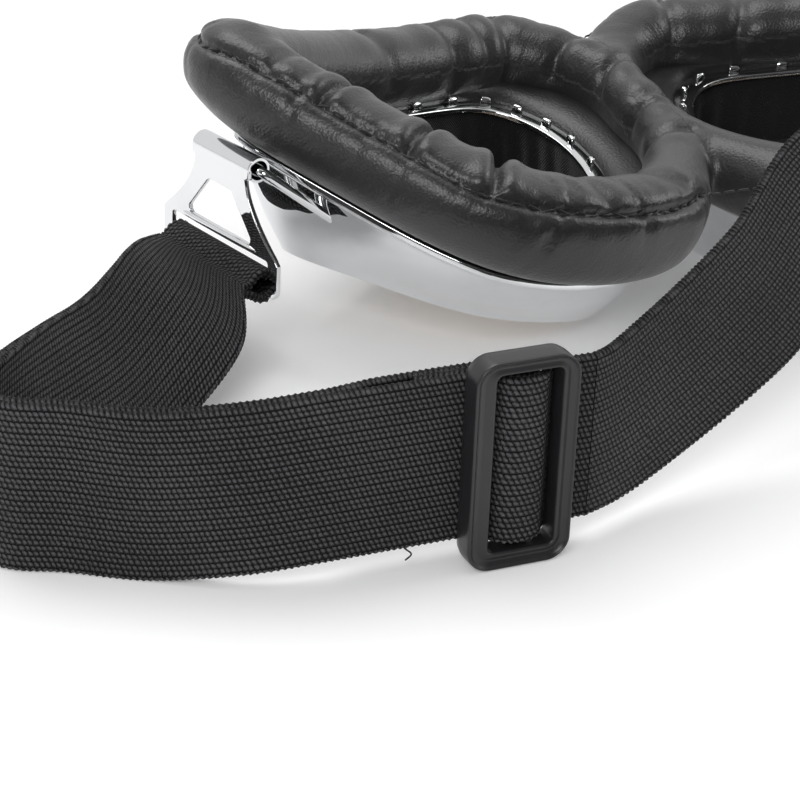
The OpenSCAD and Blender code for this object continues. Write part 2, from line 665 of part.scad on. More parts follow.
ribbon(right_route, 1, 5, 0);  // strap_rise
ribbon(right_route, 5, len(right_route) - 3, 0);  // strap_right_lead
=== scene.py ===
"""Chrome goggles with a stuffed leather face pad and an elastic head strap.

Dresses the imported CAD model. Sizes in the code are millimetres, in the CAD's frame: X runs across
both cups, Y from chin to forehead and Z away from the lenses.
"""

import math

import bpy
import numpy as np
from bpy.props import FloatProperty, FloatVectorProperty, IntProperty, PointerProperty
from mathutils import Matrix


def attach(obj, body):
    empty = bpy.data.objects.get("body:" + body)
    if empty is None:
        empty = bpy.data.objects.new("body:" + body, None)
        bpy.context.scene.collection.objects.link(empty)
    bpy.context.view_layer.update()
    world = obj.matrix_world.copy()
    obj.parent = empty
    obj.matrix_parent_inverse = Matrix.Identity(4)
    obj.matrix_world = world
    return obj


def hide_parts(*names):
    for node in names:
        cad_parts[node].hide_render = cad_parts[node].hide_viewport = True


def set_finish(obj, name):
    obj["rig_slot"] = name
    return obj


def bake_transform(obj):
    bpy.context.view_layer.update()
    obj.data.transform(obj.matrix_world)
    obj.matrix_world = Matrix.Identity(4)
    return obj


bl_info = {
    "name": "Goggles Dresser",
    "version": (1, 0, 0),
    "blender": (4, 5, 0),
    "location": "View3D > Sidebar > Goggles",
    "description": "Builds the leather, chrome, glass and elastic of goggles round their CAD model",
    "category": "Object",
}

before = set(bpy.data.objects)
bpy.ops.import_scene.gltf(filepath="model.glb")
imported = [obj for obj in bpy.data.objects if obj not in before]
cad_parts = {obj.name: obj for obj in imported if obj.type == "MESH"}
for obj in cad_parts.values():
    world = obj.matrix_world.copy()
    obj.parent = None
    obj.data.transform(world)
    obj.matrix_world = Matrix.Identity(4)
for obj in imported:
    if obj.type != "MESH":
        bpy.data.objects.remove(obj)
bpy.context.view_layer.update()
MM = 0.001
TURN = 2 * math.pi


# Settings
class PadSettings(bpy.types.PropertyGroup):
    """The stuffed face pad"""

    colour: FloatVectorProperty(
        name="Leather Colour", description="Colour of the pad's leather", subtype="COLOR",
        size=3, min=0, max=1, default=(0.017, 0.017, 0.0185))
    voxel: FloatProperty(
        name="Mesh Size (mm)", description="Size of the pad's mesh faces", default=0.65, min=0.5, max=3)
    seam_depth: FloatProperty(
        name="Seam Depth (mm)", description="Depth of the channel that the seam pulls into the roll",
        default=0.9, min=0, max=2)
    gather_depth: FloatProperty(
        name="Gather Depth (mm)", description="Depth of the folds gathered by the seam",
        default=1.0, min=0, max=3)
    stitch: FloatProperty(
        name="Stitch Length (mm)", description="Length of one stitch of the seam",
        default=2.2, min=1, max=5)


class MetalSettings(bpy.types.PropertyGroup):
    """The chrome cups, rings and hinges"""

    chrome: FloatVectorProperty(
        name="Chrome Colour", description="Colour of the chrome plate", subtype="COLOR",
        size=3, min=0, max=1, default=(0.8, 0.81, 0.82))
    glass: FloatVectorProperty(
        name="Lens Tint", description="Tint of the smoke lenses", subtype="COLOR",
        size=3, min=0, max=1, default=(0.34, 0.29, 0.24))
    steps: IntProperty(
        name="Steps Round", description="Number of steps round each cup", default=288, min=96, max=720)
    tabs: IntProperty(
        name="Ring Tabs", description="Number of bent tabs on each retaining ring",
        default=8, min=4, max=12)
    clamp_tabs: IntProperty(
        name="Clamp Tabs", description="Number of small tabs on each clamp ring",
        default=22, min=8, max=40)


class StrapSettings(bpy.types.PropertyGroup):
    """The elastic strap and its slider"""

    colour: FloatVectorProperty(
        name="Elastic Colour", description="Colour of the elastic's yarn", subtype="COLOR",
        size=3, min=0, max=1, default=(0.036, 0.036, 0.038))
    slider_colour: FloatVectorProperty(
        name="Slider Colour", description="Colour of the slider's plastic", subtype="COLOR",
        size=3, min=0, max=1, default=(0.012, 0.012, 0.0135))
    pick: FloatProperty(
        name="Knit Length (mm)", description="Length of one knit loop along the strap",
        default=0.8, min=0.4, max=2)
    course: FloatProperty(
        name="Knit Width (mm)", description="Width of one knit row across the strap",
        default=0.867, min=0.4, max=2)


class StageSettings(bpy.types.PropertyGroup):
    """Floor, lamps and camera"""

    floor: FloatVectorProperty(
        name="Floor Colour", description="Colour of the table", subtype="COLOR",
        size=3, min=0, max=1, default=(0.92, 0.92, 0.925))
    lamp: FloatProperty(
        name="Lamp Power (W)", description="Power of the large soft lamp", default=1.55, min=0, max=200)


# Mesh tools
def unit(v):
    """Vectors scaled to length one along the last axis."""
    return v / np.maximum(np.linalg.norm(v, axis=-1, keepdims=True), 1e-9)


def ease(x, low, high):
    """A smooth step from 0 at low to 1 at high."""
    t = np.clip((x - low) / (high - low), 0, 1)
    return t * t * (3 - 2 * t)


def spline(rows, u, closed=False):
    """Points of a cubic through rows: row k at u = k, with its slope set by its two neighbours."""
    n = len(rows)
    u = np.mod(u, n) if closed else np.clip(u, 0, n - 3.0001)
    k = np.floor(u).astype(int)
    f = (u - k)[..., None]
    start = k - 1 if closed else k
    a, b, c, d = (rows[(start + i) % n] for i in range(4))
    return 0.5 * (2 * b + (c - a) * f + (2 * a - 5 * b + 4 * c - d) * f**2
                  + (3 * b - a - 3 * c + d) * f**3)


def grid_faces(rows, columns, closed_rows, closed_columns):
    """Four corners of every face of a grid, as row and column numbers that run on past a join."""
    r, c = np.meshgrid(np.arange(rows - (not closed_rows)), np.arange(columns - (not closed_columns)),
                       indexing="ij")
    corners = [(r, c), (r, c + 1), (r + 1, c + 1), (r + 1, c)]
    return np.stack([np.stack(p, -1) for p in corners], -2).reshape(-1, 4, 2)


def outward(points, faces):
    """Whether the faces point outwards: the sum of their triple products, a volume, is positive."""
    p = points[faces]
    volume = np.sum(p[:, 0] * (np.cross(p[:, 1], p[:, 2]) + np.cross(p[:, 2], p[:, 3])))
    return volume >= 0


def new_piece(name, points, faces, material, slot, uv=None, sharp=None):
    """A mesh object from points in millimetres. uv holds one pair for each face corner."""
    mesh = bpy.data.meshes.new(name)
    mesh.from_pydata((np.asarray(points) * MM).tolist(), [], faces)
    mesh.polygons.foreach_set("use_smooth", np.ones(len(mesh.polygons), bool))
    if uv is not None:
        layer = mesh.uv_layers.new(name="UVMap")
        layer.data.foreach_set("uv", np.asarray(uv, np.float32).ravel())
    if sharp is not None:
        ends = np.empty(2 * len(mesh.edges), np.int32)
        mesh.edges.foreach_get("vertices", ends)
        ends = ends.reshape(-1, 2)
        mark = mesh.attributes.new("sharp_edge", "BOOLEAN", "EDGE")
        mark.data.foreach_set("value", sharp[ends[:, 0]] & sharp[ends[:, 1]])
    mesh.materials.append(material)
    mesh.update()
    piece = bpy.data.objects.new(name, mesh)
    bpy.context.scene.collection.objects.link(piece)
    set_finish(piece, slot)
    return piece


def joined(parts):
    """Several lofts, each its points, faces, UV and sharp marks, as one."""
    points, faces, uv, sharp, count = [], [], [], [], 0
    for p, f, w, s in parts:
        points.append(p)
        faces.extend([[i + count for i in face] for face in f])
        uv.append(w)
        sharp.append(s)
        count += len(p)
    return np.concatenate(points), faces, np.concatenate(uv), np.concatenate(sharp)


def loft(grid, closed_rows, along=None, around=None):
    """A closed section carried over rows of points: grid[row, column] is a point of the surface.

    An open loft gets a flat cap at each end, whose points are marked sharp. along and around are
    the UV in millimetres, by default the mean lengths between rows and between columns."""
    rows, columns = grid.shape[:2]
    points = grid.reshape(-1, 3)
    corners = grid_faces(rows, columns, closed_rows, True)
    faces = corners[..., 0] % rows * columns + corners[..., 1] % columns
    if along is None:
        step = np.linalg.norm(np.roll(grid, -1, 0) - grid, axis=-1).mean(1)
        along = np.concatenate([[0], np.cumsum(step)])
    if around is None:
        step = np.linalg.norm(np.roll(grid, -1, 1) - grid, axis=-1).mean(0)
        around = np.concatenate([[0], np.cumsum(step)])
    uv = np.stack([along[corners[..., 0]], around[corners[..., 1]]], -1)
    if not outward(points, faces):
        faces, uv = faces[:, ::-1], uv[:, ::-1]
    faces = faces.tolist()
    uv = uv.reshape(-1, 2)
    sharp = np.zeros(len(points), bool)
    if not closed_rows:
        middle = grid[rows // 2].mean(0)
        for ring in (np.arange(columns), np.arange(columns) + (rows - 1) * columns):
            p = points[ring]
            normal = np.cross(p - p.mean(0), np.roll(p, -1, 0) - p.mean(0)).sum(0)
            ring = ring if normal @ (p.mean(0) - middle) > 0 else ring[::-1]
            faces.append(ring.tolist())
            uv = np.concatenate([uv, np.zeros((columns, 2))])
            sharp[ring] = True
    return points, faces, uv, sharp


def lofted_piece(name, lofts, material, slot, creased=False):
    """A mesh object from lofts. The rims of their caps are creased if asked."""
    points, faces, uv, sharp = joined(lofts)
    return new_piece(name, points, faces, material, slot, uv, sharp if creased else None)


def softened(grid, radius, steps=3):
    """Each corner of a closed section rounded: replaced by points of a parabola that starts and ends
    radius away from the corner, or at most 45% of the way to the next."""
    before, after = np.roll(grid, 1, 1) - grid, np.roll(grid, -1, 1) - grid
    reach = [np.minimum(radius, 0.45 * np.linalg.norm(v, axis=-1, keepdims=True)) for v in (before, after)]
    start, end = grid + unit(before) * reach[0], grid + unit(after) * reach[1]
    t = np.linspace(0, 1, steps + 1)[:, None]
    points = (start[:, :, None] * (1 - t) ** 2 + grid[:, :, None] * 2 * t * (1 - t)
              + end[:, :, None] * t**2)
    return points.reshape(len(grid), -1, 3)


def rod_grid(path, radius, sides, rounded_ends=False):
    """A round rod along a path: circles square to the path, started from one fixed direction so
    that they don't twist. Rounded ends add three circles each, on a half sphere."""
    path = np.asarray(path, float)
    tangent = unit(np.gradient(path, axis=0))
    seed = np.array([0, 0, 1.0]) if abs(tangent[0, 2]) < 0.9 else np.array([1.0, 0, 0])
    side = unit(np.cross(tangent, seed))
    up = np.cross(side, tangent)
    a = TURN * np.arange(sides) / sides
    ring = np.cos(a)[:, None] * side[:, None] + np.sin(a)[:, None] * up[:, None]
    radii = np.broadcast_to(np.asarray(radius, float), (len(path),))[:, None, None]
    grid = path[:, None] + ring * radii
    if rounded_ends:
        r = float(radii[0, 0, 0])
        f = np.radians([75, 50, 25])
        first = path[0] - tangent[0] * (r * np.sin(f))[:, None]
        last = path[-1] + tangent[-1] * (r * np.sin(f[::-1]))[:, None]
        grid = np.concatenate([first[:, None] + ring[0] * (r * np.cos(f))[:, None, None], grid,
                               last[:, None] + ring[-1] * (r * np.cos(f[::-1]))[:, None, None]])
    return grid


def through(points, count):
    """Evenly counted points of a cubic through the given ones."""
    p = np.asarray(points, float)
    p = np.concatenate([[2 * p[0] - p[1]], p, [2 * p[-1] - p[-2]]])
    return spline(p, np.linspace(0, len(p) - 3, count))


def on_left(grid):
    """Points of the right side, where shapes are drawn, mirrored to the left."""
    return grid * np.array([-1.0, 1, 1])


def on_right(grid):
    """Points of the right side, as they are."""
    return grid


SIDES = (("left", on_left), ("right", on_right))


# Shader tools
class Value:
    """A number socket whose arithmetic signs add Math nodes."""

    def __init__(self, shader, socket):
        self.shader, self.socket = shader, socket

    def math(self, operation, *others):
        """A Math node on this number and others."""
        node = self.shader.node("ShaderNodeMath", {"operation": operation},
                                dict(enumerate((self,) + others)))
        return Value(self.shader, node.outputs[0])

    def __add__(self, other):
        return self.math("ADD", other)

    def __mul__(self, other):
        return self.math("MULTIPLY", other)

    def __sub__(self, other):
        return self.math("SUBTRACT", other)

    def __rsub__(self, other):
        return (self * -1) + other

    def __truediv__(self, other):
        return self.math("DIVIDE", other)

    __radd__ = __add__
    __rmul__ = __mul__

    def step(self, low, high):
        """0 below low and 1 above high, smooth between."""
        node = self.shader.node("ShaderNodeMapRange", {"interpolation_type": "SMOOTHSTEP"},
                                {"Value": self, "From Min": low, "From Max": high})
        return Value(self.shader, node.outputs[0])


class Finish:
    """A material in the making, with a Principled shader at its end."""

    def __init__(self, name, **constants):
        self.material = bpy.data.materials.new(name)
        self.material.use_nodes = True
        self.tree = self.material.node_tree
        self.tree.nodes.clear()
        self.end = self.node("ShaderNodeOutputMaterial", {}, {})
        self.surface = self.node("ShaderNodeBsdfPrincipled", {}, constants)
        self.tree.links.new(self.surface.outputs[0], self.end.inputs["Surface"])

    def node(self, kind, settings, inputs):
        """One node: its settings are set first, then its sockets' values or links."""
        node = self.tree.nodes.new(kind)
        for key, value in settings.items():
            setattr(node, key, value)
        for key, value in inputs.items():
            socket = node.inputs[key]
            if isinstance(value, Value):
                self.tree.links.new(value.socket, socket)
            elif isinstance(value, bpy.types.NodeSocket):
                self.tree.links.new(value, socket)
            else:
                socket.default_value = value
        return node

    def coordinate(self, scale=(1, 1, 1), turn=(0, 0, 0)):
        """Object coordinates in millimetres, stretched and turned."""
        place = self.node("ShaderNodeTexCoord", {}, {}).outputs["Object"]
        return self.node("ShaderNodeMapping", {}, {
            "Vector": place, "Scale": [s / MM for s in scale], "Rotation": turn}).outputs[0]

    def attribute(self, name):
        """A vector kept on the mesh."""
        return self.node("ShaderNodeAttribute", {"attribute_name": name}, {}).outputs["Vector"]

    def stretched(self, vector, scale):
        """A vector with each part scaled."""
        return self.node("ShaderNodeMapping", {}, {"Vector": vector, "Scale": scale}).outputs[0]

    def along_and_across(self):
        """The piece's own UV map, as two numbers."""
        uv = self.node("ShaderNodeUVMap", {"uv_map": "UVMap"}, {}).outputs[0]
        parts = self.node("ShaderNodeSeparateXYZ", {}, {0: uv})
        return Value(self, parts.outputs[0]), Value(self, parts.outputs[1])

    def noise(self, vector, scale, detail=2.0, roughness=0.5):
        """Soft noise from 0 to 1."""
        node = self.node("ShaderNodeTexNoise", {}, {
            "Vector": vector, "Scale": scale, "Detail": detail, "Roughness": roughness})
        return Value(self, node.outputs[0])

    def cells(self, vector, scale):
        """Distance to the nearest of scattered points."""
        node = self.node("ShaderNodeTexVoronoi", {}, {"Vector": vector, "Scale": scale})
        return Value(self, node.outputs["Distance"])

    def mixed(self, mask, colour_a, colour_b):
        """colour_a where the mask is 0, colour_b where it is 1."""
        node = self.node("ShaderNodeMix", {"data_type": "RGBA"}, {0: mask, 6: colour_a, 7: colour_b})
        return node.outputs[2]

    def bump(self, height, distance, normal=None, strength=1.0):
        """Relief: height 1 stands distance millimetres proud of height 0."""
        inputs = {"Height": height, "Distance": distance * MM, "Strength": strength}
        if normal is not None:
            inputs["Normal"] = normal
        return self.node("ShaderNodeBump", {}, inputs).outputs[0]

    def feed(self, **inputs):
        """Links values into the Principled shader, words joined by underscores."""
        for key, value in inputs.items():
            socket = self.surface.inputs[key.replace("_", " ")]
            self.tree.links.new(value.socket if isinstance(value, Value) else value, socket)
        return self.material


def shade(colour, factor):
    """A colour made darker or lighter, opaque."""
    return tuple(min(1, c * factor) for c in colour) + (1,)


# Outline of a cup, with the CAD's own sizes
CUP_REACH, CUP_HEIGHT, RIM_GAP = 79.5, 67.0, 4.0
RIM_NOSE_Z, RIM_SWEEP, RIM_PITCH = 17.6, 17.5, 0.15
LENS_TILT = math.radians(12.5)
BEZEL_IN, OPENING_IN, LENS_IN, RING_IN = 7.0, 12.0, 9.0, 12.2
SHELL, GASKET, LENS, RING = 0.8, 0.8, 2.0, 0.8
PAD_W, PAD_H, BASE_T, BASE_W = 17.8, 18.5, 1.4, 8.0
# Gap between pieces, how far the wall bellies out, and how far it starts in and down from the rim
FIT = 0.1
BELLY = 0.8
WALL_IN, WALL_DOWN = 0.7, 1.8
# Height of the bend between wall and bezel over the lens plane
BEZEL_BEND = 1.4
# Middle line of the pad's roll: X and Y as shares of the cup, then its width and height as shares of
# the widest and highest
PAD_LINE = np.array([
    [1, 0.015, 1, 1], [0.82, 0.18, 0.92, 0.87], [0.515, 0.395, 0.82, 0.78], [0.18, 0.52, 0.76, 0.78],
    [0.012, 0.305, 0.56, 0.79], [0.018, -0.075, 0.56, 0.79], [0.21, -0.425, 0.86, 0.92],
    [0.57, -0.485, 1, 1], [0.86, -0.21, 1, 1]])
CUP_MID = np.array([(RIM_GAP + CUP_REACH) / 2, 0])
CUP_HALF = np.array([(CUP_REACH - RIM_GAP) / 2, CUP_HEIGHT / 2])
ROUND = len(PAD_LINE)


def line_at(u):
    """Plan point of the roll's middle line; u counts the rows of PAD_LINE."""
    return spline(PAD_LINE, u, True)[..., :2] * [CUP_REACH, CUP_HEIGHT]


def rim_z(q):
    """Height of the rim over a plan point: it rises with the square of X and along Y."""
    return RIM_NOSE_Z + RIM_SWEEP * (q[..., 0] / CUP_REACH) ** 2 + RIM_PITCH * q[..., 1]


def cup_plan(u, inset):
    """Plan point of the metal cup, inset from its rim."""
    q = line_at(u) * [1 - RIM_GAP / CUP_REACH, 1] + [RIM_GAP, 0]
    return CUP_MID + (q - CUP_MID) * (1 - inset / CUP_HALF)


def rim_point(u, inset, dz):
    """Point at a height dz over the rim."""
    q = cup_plan(u, inset)
    return np.concatenate([q, (rim_z(q) + dz)[..., None]], -1)


BEZEL_LOW = -cup_plan(np.arange(64) * ROUND / 64, BEZEL_IN + 1)[:, 0].min() * math.tan(LENS_TILT)


def over_lens(q, w):
    """Plan points put on the tilted lens plane, then moved w square to it."""
    x, y = q[..., 0], q[..., 1]
    return np.stack([x - w * math.sin(LENS_TILT), y,
                     BEZEL_LOW + x * math.tan(LENS_TILT) + w * math.cos(LENS_TILT)], -1)


def bezel_point(u, inset, w):
    """Point of the cup's outline, inset, w above the tilted lens plane."""
    return over_lens(cup_plan(u, inset), w)


def wall_point(u, f, inner=0.0):
    """Point of the cup's side wall: f is 0 under the rim and 1 at the bezel, bellied between."""
    top, foot = rim_point(u, WALL_IN, -WALL_DOWN), bezel_point(u, BEZEL_IN, BEZEL_BEND)
    mid = top + (foot - top) * f
    away = mid - np.concatenate([np.broadcast_to(CUP_MID, mid[..., :2].shape), mid[..., 2:]], -1)
    return mid + unit(away) * (BELLY * math.sin(math.pi * f) - inner)


def stations(count):
    """count values of u round a cup."""
    return np.arange(count) * ROUND / count


# Finishes
# Colours of the dark pieces that have no setting of their own
SEAM_BLACK, PANEL_BLACK = (0.012, 0.012, 0.013), (0.013, 0.013, 0.014)
CLOTH_BLACK, STRAP_THREAD_BLACK = (0.014, 0.014, 0.015), (0.016, 0.016, 0.017)


def leather(name, colour):
    """Soft black leather: fine pebbled grain, drag wrinkles round the roll and a satin sheen. The
    attribute wrap, where a piece has it, turns the wrinkles round the roll."""
    f = Finish(name, **{"Specular IOR Level": 0.62, "Sheen Weight": 0.1, "Sheen Roughness": 0.4,
                        "Coat Weight": 0.08, "Coat Roughness": 0.3})
    place = f.coordinate()
    grain = f.cells(place, 2.2)
    pores = f.noise(place, 4.0, 3)
    patches = f.noise(place, 0.07, 2)
    wrap = f.attribute("wrap")
    pulls = f.noise(f.stretched(wrap, (0.55, 0.55, 0.12)), 1.0, 3, 0.55)
    long_pulls = f.noise(f.stretched(wrap, (0.2, 0.2, 0.05)), 1.0, 2)
    lit = (patches - 0.5) * 0.35 + (grain * 0.3) + 0.85
    colour_now = f.mixed(lit.step(0.5, 1.4), shade(colour, 0.7), shade(colour, 1.45))
    rough = 0.36 + (patches - 0.5) * 0.12 + (grain - 0.4) * 0.08
    relief = f.bump(pulls, 0.16, strength=0.8)
    relief = f.bump(long_pulls, 0.3, relief, 0.7)
    relief = f.bump(grain + pores * 0.5, 0.05, relief, 0.9)
    return f.feed(Base_Color=colour_now, Roughness=rough, Normal=relief)


def plain_leather(name, colour):
    """Black leathercloth of the backing band."""
    f = Finish(name, **{"Specular IOR Level": 0.4})
    place = f.coordinate()
    grain = f.cells(place, 1.8)
    colour_now = f.mixed(grain.step(0, 0.6), shade(colour, 0.7), shade(colour, 1.4))
    return f.feed(Base_Color=colour_now, Roughness=0.5 + grain * 0.2, Normal=f.bump(grain, 0.05))


def lining_cloth(name, colour):
    """Black plain-weave cloth: two crossed sets of threads."""
    f = Finish(name, **{"Specular IOR Level": 0.25, "Sheen Weight": 0.2, "Sheen Roughness": 0.4})
    along, across = f.along_and_across()
    weave = (along * (TURN / 0.5)).math("SINE") * (across * (TURN / 0.5)).math("SINE")
    fuzz = f.noise(f.coordinate(), 1.2, 3)
    colour_now = f.mixed((weave * 0.5 + 0.5) * fuzz, shade(colour, 0.6), shade(colour, 1.6))
    return f.feed(Base_Color=colour_now, Roughness=0.8 + fuzz * 0.15, Normal=f.bump(weave + fuzz, 0.08))


def chrome(name, colour, wear=0.04):
    """Polished plate with faint haze, fine wiping marks and a few pits."""
    f = Finish(name, **{"IOR": 2.5, "Metallic": 1.0})
    place = f.coordinate()
    haze = f.noise(place, 0.09, 4, 0.6)
    marks = f.noise(f.coordinate((0.15, 2.2, 0.4), (0.3, 0.2, 0.6)), 1.0, 4, 0.7)
    pits = 1 - f.cells(place, 0.35).step(0.02, 0.07)
    rough = 0.035 + haze.step(0.45, 0.8) * wear + marks.step(0.6, 0.9) * 0.03 + pits * 0.2
    colour_now = f.mixed(haze.step(0.4, 0.9), shade(colour, 1), shade(colour, 0.9))
    relief = f.bump(f.noise(place, 0.05, 1), 0.25, strength=0.5)
    return f.feed(Base_Color=colour_now, Roughness=rough, Normal=relief)


def rubber(name):
    """Matt black moulded rubber."""
    f = Finish(name, **{"Specular IOR Level": 0.3})
    bloom = f.noise(f.coordinate(), 0.3, 4)
    colour_now = f.mixed(bloom, (0.01, 0.01, 0.01, 1), (0.022, 0.022, 0.022, 1))
    return f.feed(Base_Color=colour_now, Roughness=0.6 + bloom * 0.25,
                  Normal=f.bump(f.noise(f.coordinate(), 3, 2), 0.03))


def smoke_glass(name, tint):
    """Tinted polycarbonate with dust and faint wiping haze on its faces."""
    f = Finish(name, **{"IOR": 1.5, "Transmission Weight": 1.0})
    haze = f.noise(f.coordinate((0.4, 1.2, 1)), 0.12, 4)
    dust = 1 - f.cells(f.coordinate(), 0.5).step(0.02, 0.05)
    colour_now = f.mixed(haze, shade(tint, 0.92), shade(tint, 1.08))
    return f.feed(Base_Color=colour_now, Roughness=0.01 + haze.step(0.5, 0.9) * 0.03 + dust * 0.3)


def elastic(name, colour, pick, course):
    """Knitted elastic: staggered slanting loops in rows along the strap, every second row deeper,
    with rounded corded edges. UV is millimetres along and across."""
    f = Finish(name, **{"Specular IOR Level": 0.2, "Sheen Weight": 0.03, "Sheen Roughness": 0.35})
    along, across = f.along_and_across()
    place = f.coordinate()
    wobble = (f.noise(place, 0.6, 2) - 0.5) * 0.5
    row = across / course
    level = row.math("FLOOR")
    stagger = (level * 0.5).math("FRACT")
    in_row = row.math("FRACT") - 0.5
    in_loop = (along / pick + stagger + in_row * 0.45 + wobble).math("FRACT") - 0.5
    loop = 1 - (in_loop * in_loop * 3.6 + in_row * in_row * 3.0)
    pair = (row * 0.5).math("FRACT") - 0.5
    groove = 1 - (pair * pair).step(0.0, 0.012)
    strands = (along * (TURN * 2.6 / pick) + across * (TURN * 1.2 / course)).math("SINE")
    fuzz = f.noise(place, 2.6, 3, 0.6)
    broad = f.noise(place, 0.05, 2)
    height = loop + strands * 0.06 + fuzz * 0.35 - groove * 0.4
    # The colour follows the knit's height: painted shade in the grooves and between the loops, and painted
    # light on the loop tops. broad and fuzz add random tone.
    tone = height * 0.6 + (broad - 0.5) * 0.3 + (fuzz - 0.5) * 0.5
    colour_now = f.mixed(tone.step(0.1, 0.95), shade(colour, 0.05), shade(colour, 2.7))
    return f.feed(Base_Color=colour_now, Roughness=0.85 - fuzz * 0.25,
                  Normal=f.bump(height, 0.28, strength=0.9))


def thread(name, colour):
    """Twisted sewing thread."""
    f = Finish(name, **{"Specular IOR Level": 0.4, "Sheen Weight": 0.2})
    twist = f.noise(f.coordinate((1, 1, 1), (0.5, 0.4, 0.3)), 3.5, 2)
    colour_now = f.mixed(twist, shade(colour, 0.6), shade(colour, 1.7))
    return f.feed(Base_Color=colour_now, Roughness=0.5 + twist * 0.3, Normal=f.bump(twist, 0.08))


def slider_plastic(name, colour):
    """Black moulded plastic, satin, with a spark-eroded grain and rubbed edges."""
    f = Finish(name, **{"Specular IOR Level": 0.5})
    place = f.coordinate()
    grain = f.noise(place, 2.2, 3, 0.6)
    rub = f.noise(place, 0.18, 4, 0.6)
    colour_now = f.mixed(rub, shade(colour, 0.8), shade(colour, 1.4))
    return f.feed(Base_Color=colour_now, Roughness=0.24 + grain * 0.12 + rub * 0.08,
                  Normal=f.bump(grain, 0.03, strength=0.7))


def table(name, colour):
    """A pale table that shows white to the camera and in chrome and glass, shadows kept."""
    f = Finish(name, **{"Specular IOR Level": 0.1, "Emission Color": (1, 1, 1, 1),
                        "Emission Strength": 0.12})
    place = f.coordinate()
    tone = f.noise(place, 0.01, 2)
    colour_now = f.mixed(tone, shade(colour, 0.99), shade(colour, 1.01))
    return f.feed(Base_Color=colour_now, Roughness=0.75 + tone * 0.05)


# The face pad: where its roll stands over the rim, points along and round the roll, quick mesh size
ROLL_FOOT = BASE_T + 2 * FIT
ROLL_STEPS, ROLL_SIDES, QUICK_VOXEL = 240, 40, 2.0
# How strongly, how often and how far from the middle the nose is smoothed, where the two rolls meet
NOSE_WEIGHT, NOSE_ROUNDS, NOSE_FROM, NOSE_TO = 0.6, 40, 5, 15


def roll_frame(u):
    """Middle of the roll at u, its outward direction in plan, and half its width and height."""
    p, ahead, behind = line_at(u), line_at(u + 0.02), line_at(u - 0.02)
    d = unit(ahead - behind)
    out = np.stack([d[..., 1], -d[..., 0]], -1)
    share = spline(PAD_LINE, u, True)[..., 2:]
    half_w = share[..., 0] * PAD_W / 2
    half_h = (share[..., 1] * PAD_H - ROLL_FOOT) / 2
    return p, out, half_w, half_h, rim_z(p) + ROLL_FOOT + half_h


def roll_point(u, a):
    """Surface of the stuffed roll: an upright ellipse at u, angle a from outward through up.

    Its underside is flattened and follows the slope of the rim."""
    p, out, half_w, half_h, z = roll_frame(u)
    lift = np.where(np.sin(a) < 0, -np.minimum(1, -1.15 * np.sin(a)), np.sin(a))
    q = p + out * (half_w * np.cos(a))[..., None]
    down = np.maximum(0, -lift) * (rim_z(q) - rim_z(p))
    return np.concatenate([q, (z + half_h * lift + down)[..., None]], -1)


def nearest(points, targets, chunk=4000):
    """Number of the nearest target of each point, and its distance."""
    best, far = [], []
    square = (targets**2).sum(1)
    for start in range(0, len(points), chunk):
        p = points[start:start + chunk]
        d = (p**2).sum(1)[:, None] + square - 2 * p @ targets.T
        k = d.argmin(1)
        best.append(k)
        far.append(np.sqrt(np.maximum(d[np.arange(len(p)), k], 0)))
    return np.concatenate(best), np.concatenate(far)


def evaluated_mesh(piece):
    """The piece's mesh with its modifiers applied and taken off."""
    graph = bpy.context.evaluated_depsgraph_get()
    mesh = bpy.data.meshes.new_from_object(piece.evaluated_get(graph))
    piece.modifiers.clear()
    piece.data = mesh
    return mesh


def mesh_points(mesh):
    """Points of a mesh in millimetres, its normals and its edges."""
    points = np.empty(3 * len(mesh.vertices), np.float32)
    normals = np.empty(3 * len(mesh.vertices), np.float32)
    edges = np.empty(2 * len(mesh.edges), np.int32)
    mesh.vertices.foreach_get("co", points)
    mesh.vertex_normals.foreach_get("vector", normals)
    mesh.edges.foreach_get("vertices", edges)
    return (points.reshape(-1, 3).astype(float) / MM, normals.reshape(-1, 3).astype(float),
            edges.reshape(-1, 2))


def set_points(mesh, points):
    """Moves a mesh's points to new places, in millimetres."""
    mesh.vertices.foreach_set("co", (points * MM).astype(np.float32).ravel())


def relaxed(points, edges, weight, rounds):
    """Points moved towards the mean of their neighbours, by a weight from 0 to 1, several times."""
    count = np.bincount(edges.ravel(), minlength=len(points))[:, None]
    for _ in range(rounds):
        total = np.stack([np.bincount(edges[:, 0], points[edges[:, 1], i], len(points))
                          + np.bincount(edges[:, 1], points[edges[:, 0], i], len(points))
                          for i in range(3)], -1)
        points = points + (total / np.maximum(count, 1) - points) * weight[:, None]
    return points


# Where the seam lies on the roll, as u and degrees from outward, and where it leaves for the nose
SEAM_STEPS = np.array([
    [0.0, 40], [0.8, 48], [2.0, 46], [3.4, 40], [5.9, 30], [6.4, 34], [6.9, 35], [7.2, 36],
    [7.5, 48], [8.2, 52], [8.7, 50], [9.0, 40]])
SEAM_NOSE_CHIN, SEAM_NOSE_BROW = 5.85, 3.35
SEAM_SAMPLES, SEAM_KNOTS = 90, 160
# Points of the seam for its channel and for its stitches
CHANNEL_POINTS, STITCH_POINTS = 1200, 2400
# Points of the roll's middle line, width of the seam's channel, and the mean distance between gathers
MIDDLE_POINTS, CHANNEL_W, GATHER_PITCH = 900, 0.65, 7.5
# A stitch: gap to the next, how deep its ends dip, and its radius at shares of its length
STITCH_GAP, STITCH_DIP = 0.6, 0.25
STITCH_SHARES = np.array([0, 0.12, 0.5, 0.88, 1.0])
STITCH_RADII = [0.08, 0.17, 0.19, 0.17, 0.08]


def lengths(points):
    """Distance along a closed loop at each of its points, and at its end."""
    step = np.linalg.norm(np.roll(points, -1, 0) - points, axis=1)
    return np.concatenate([[0], np.cumsum(step)])


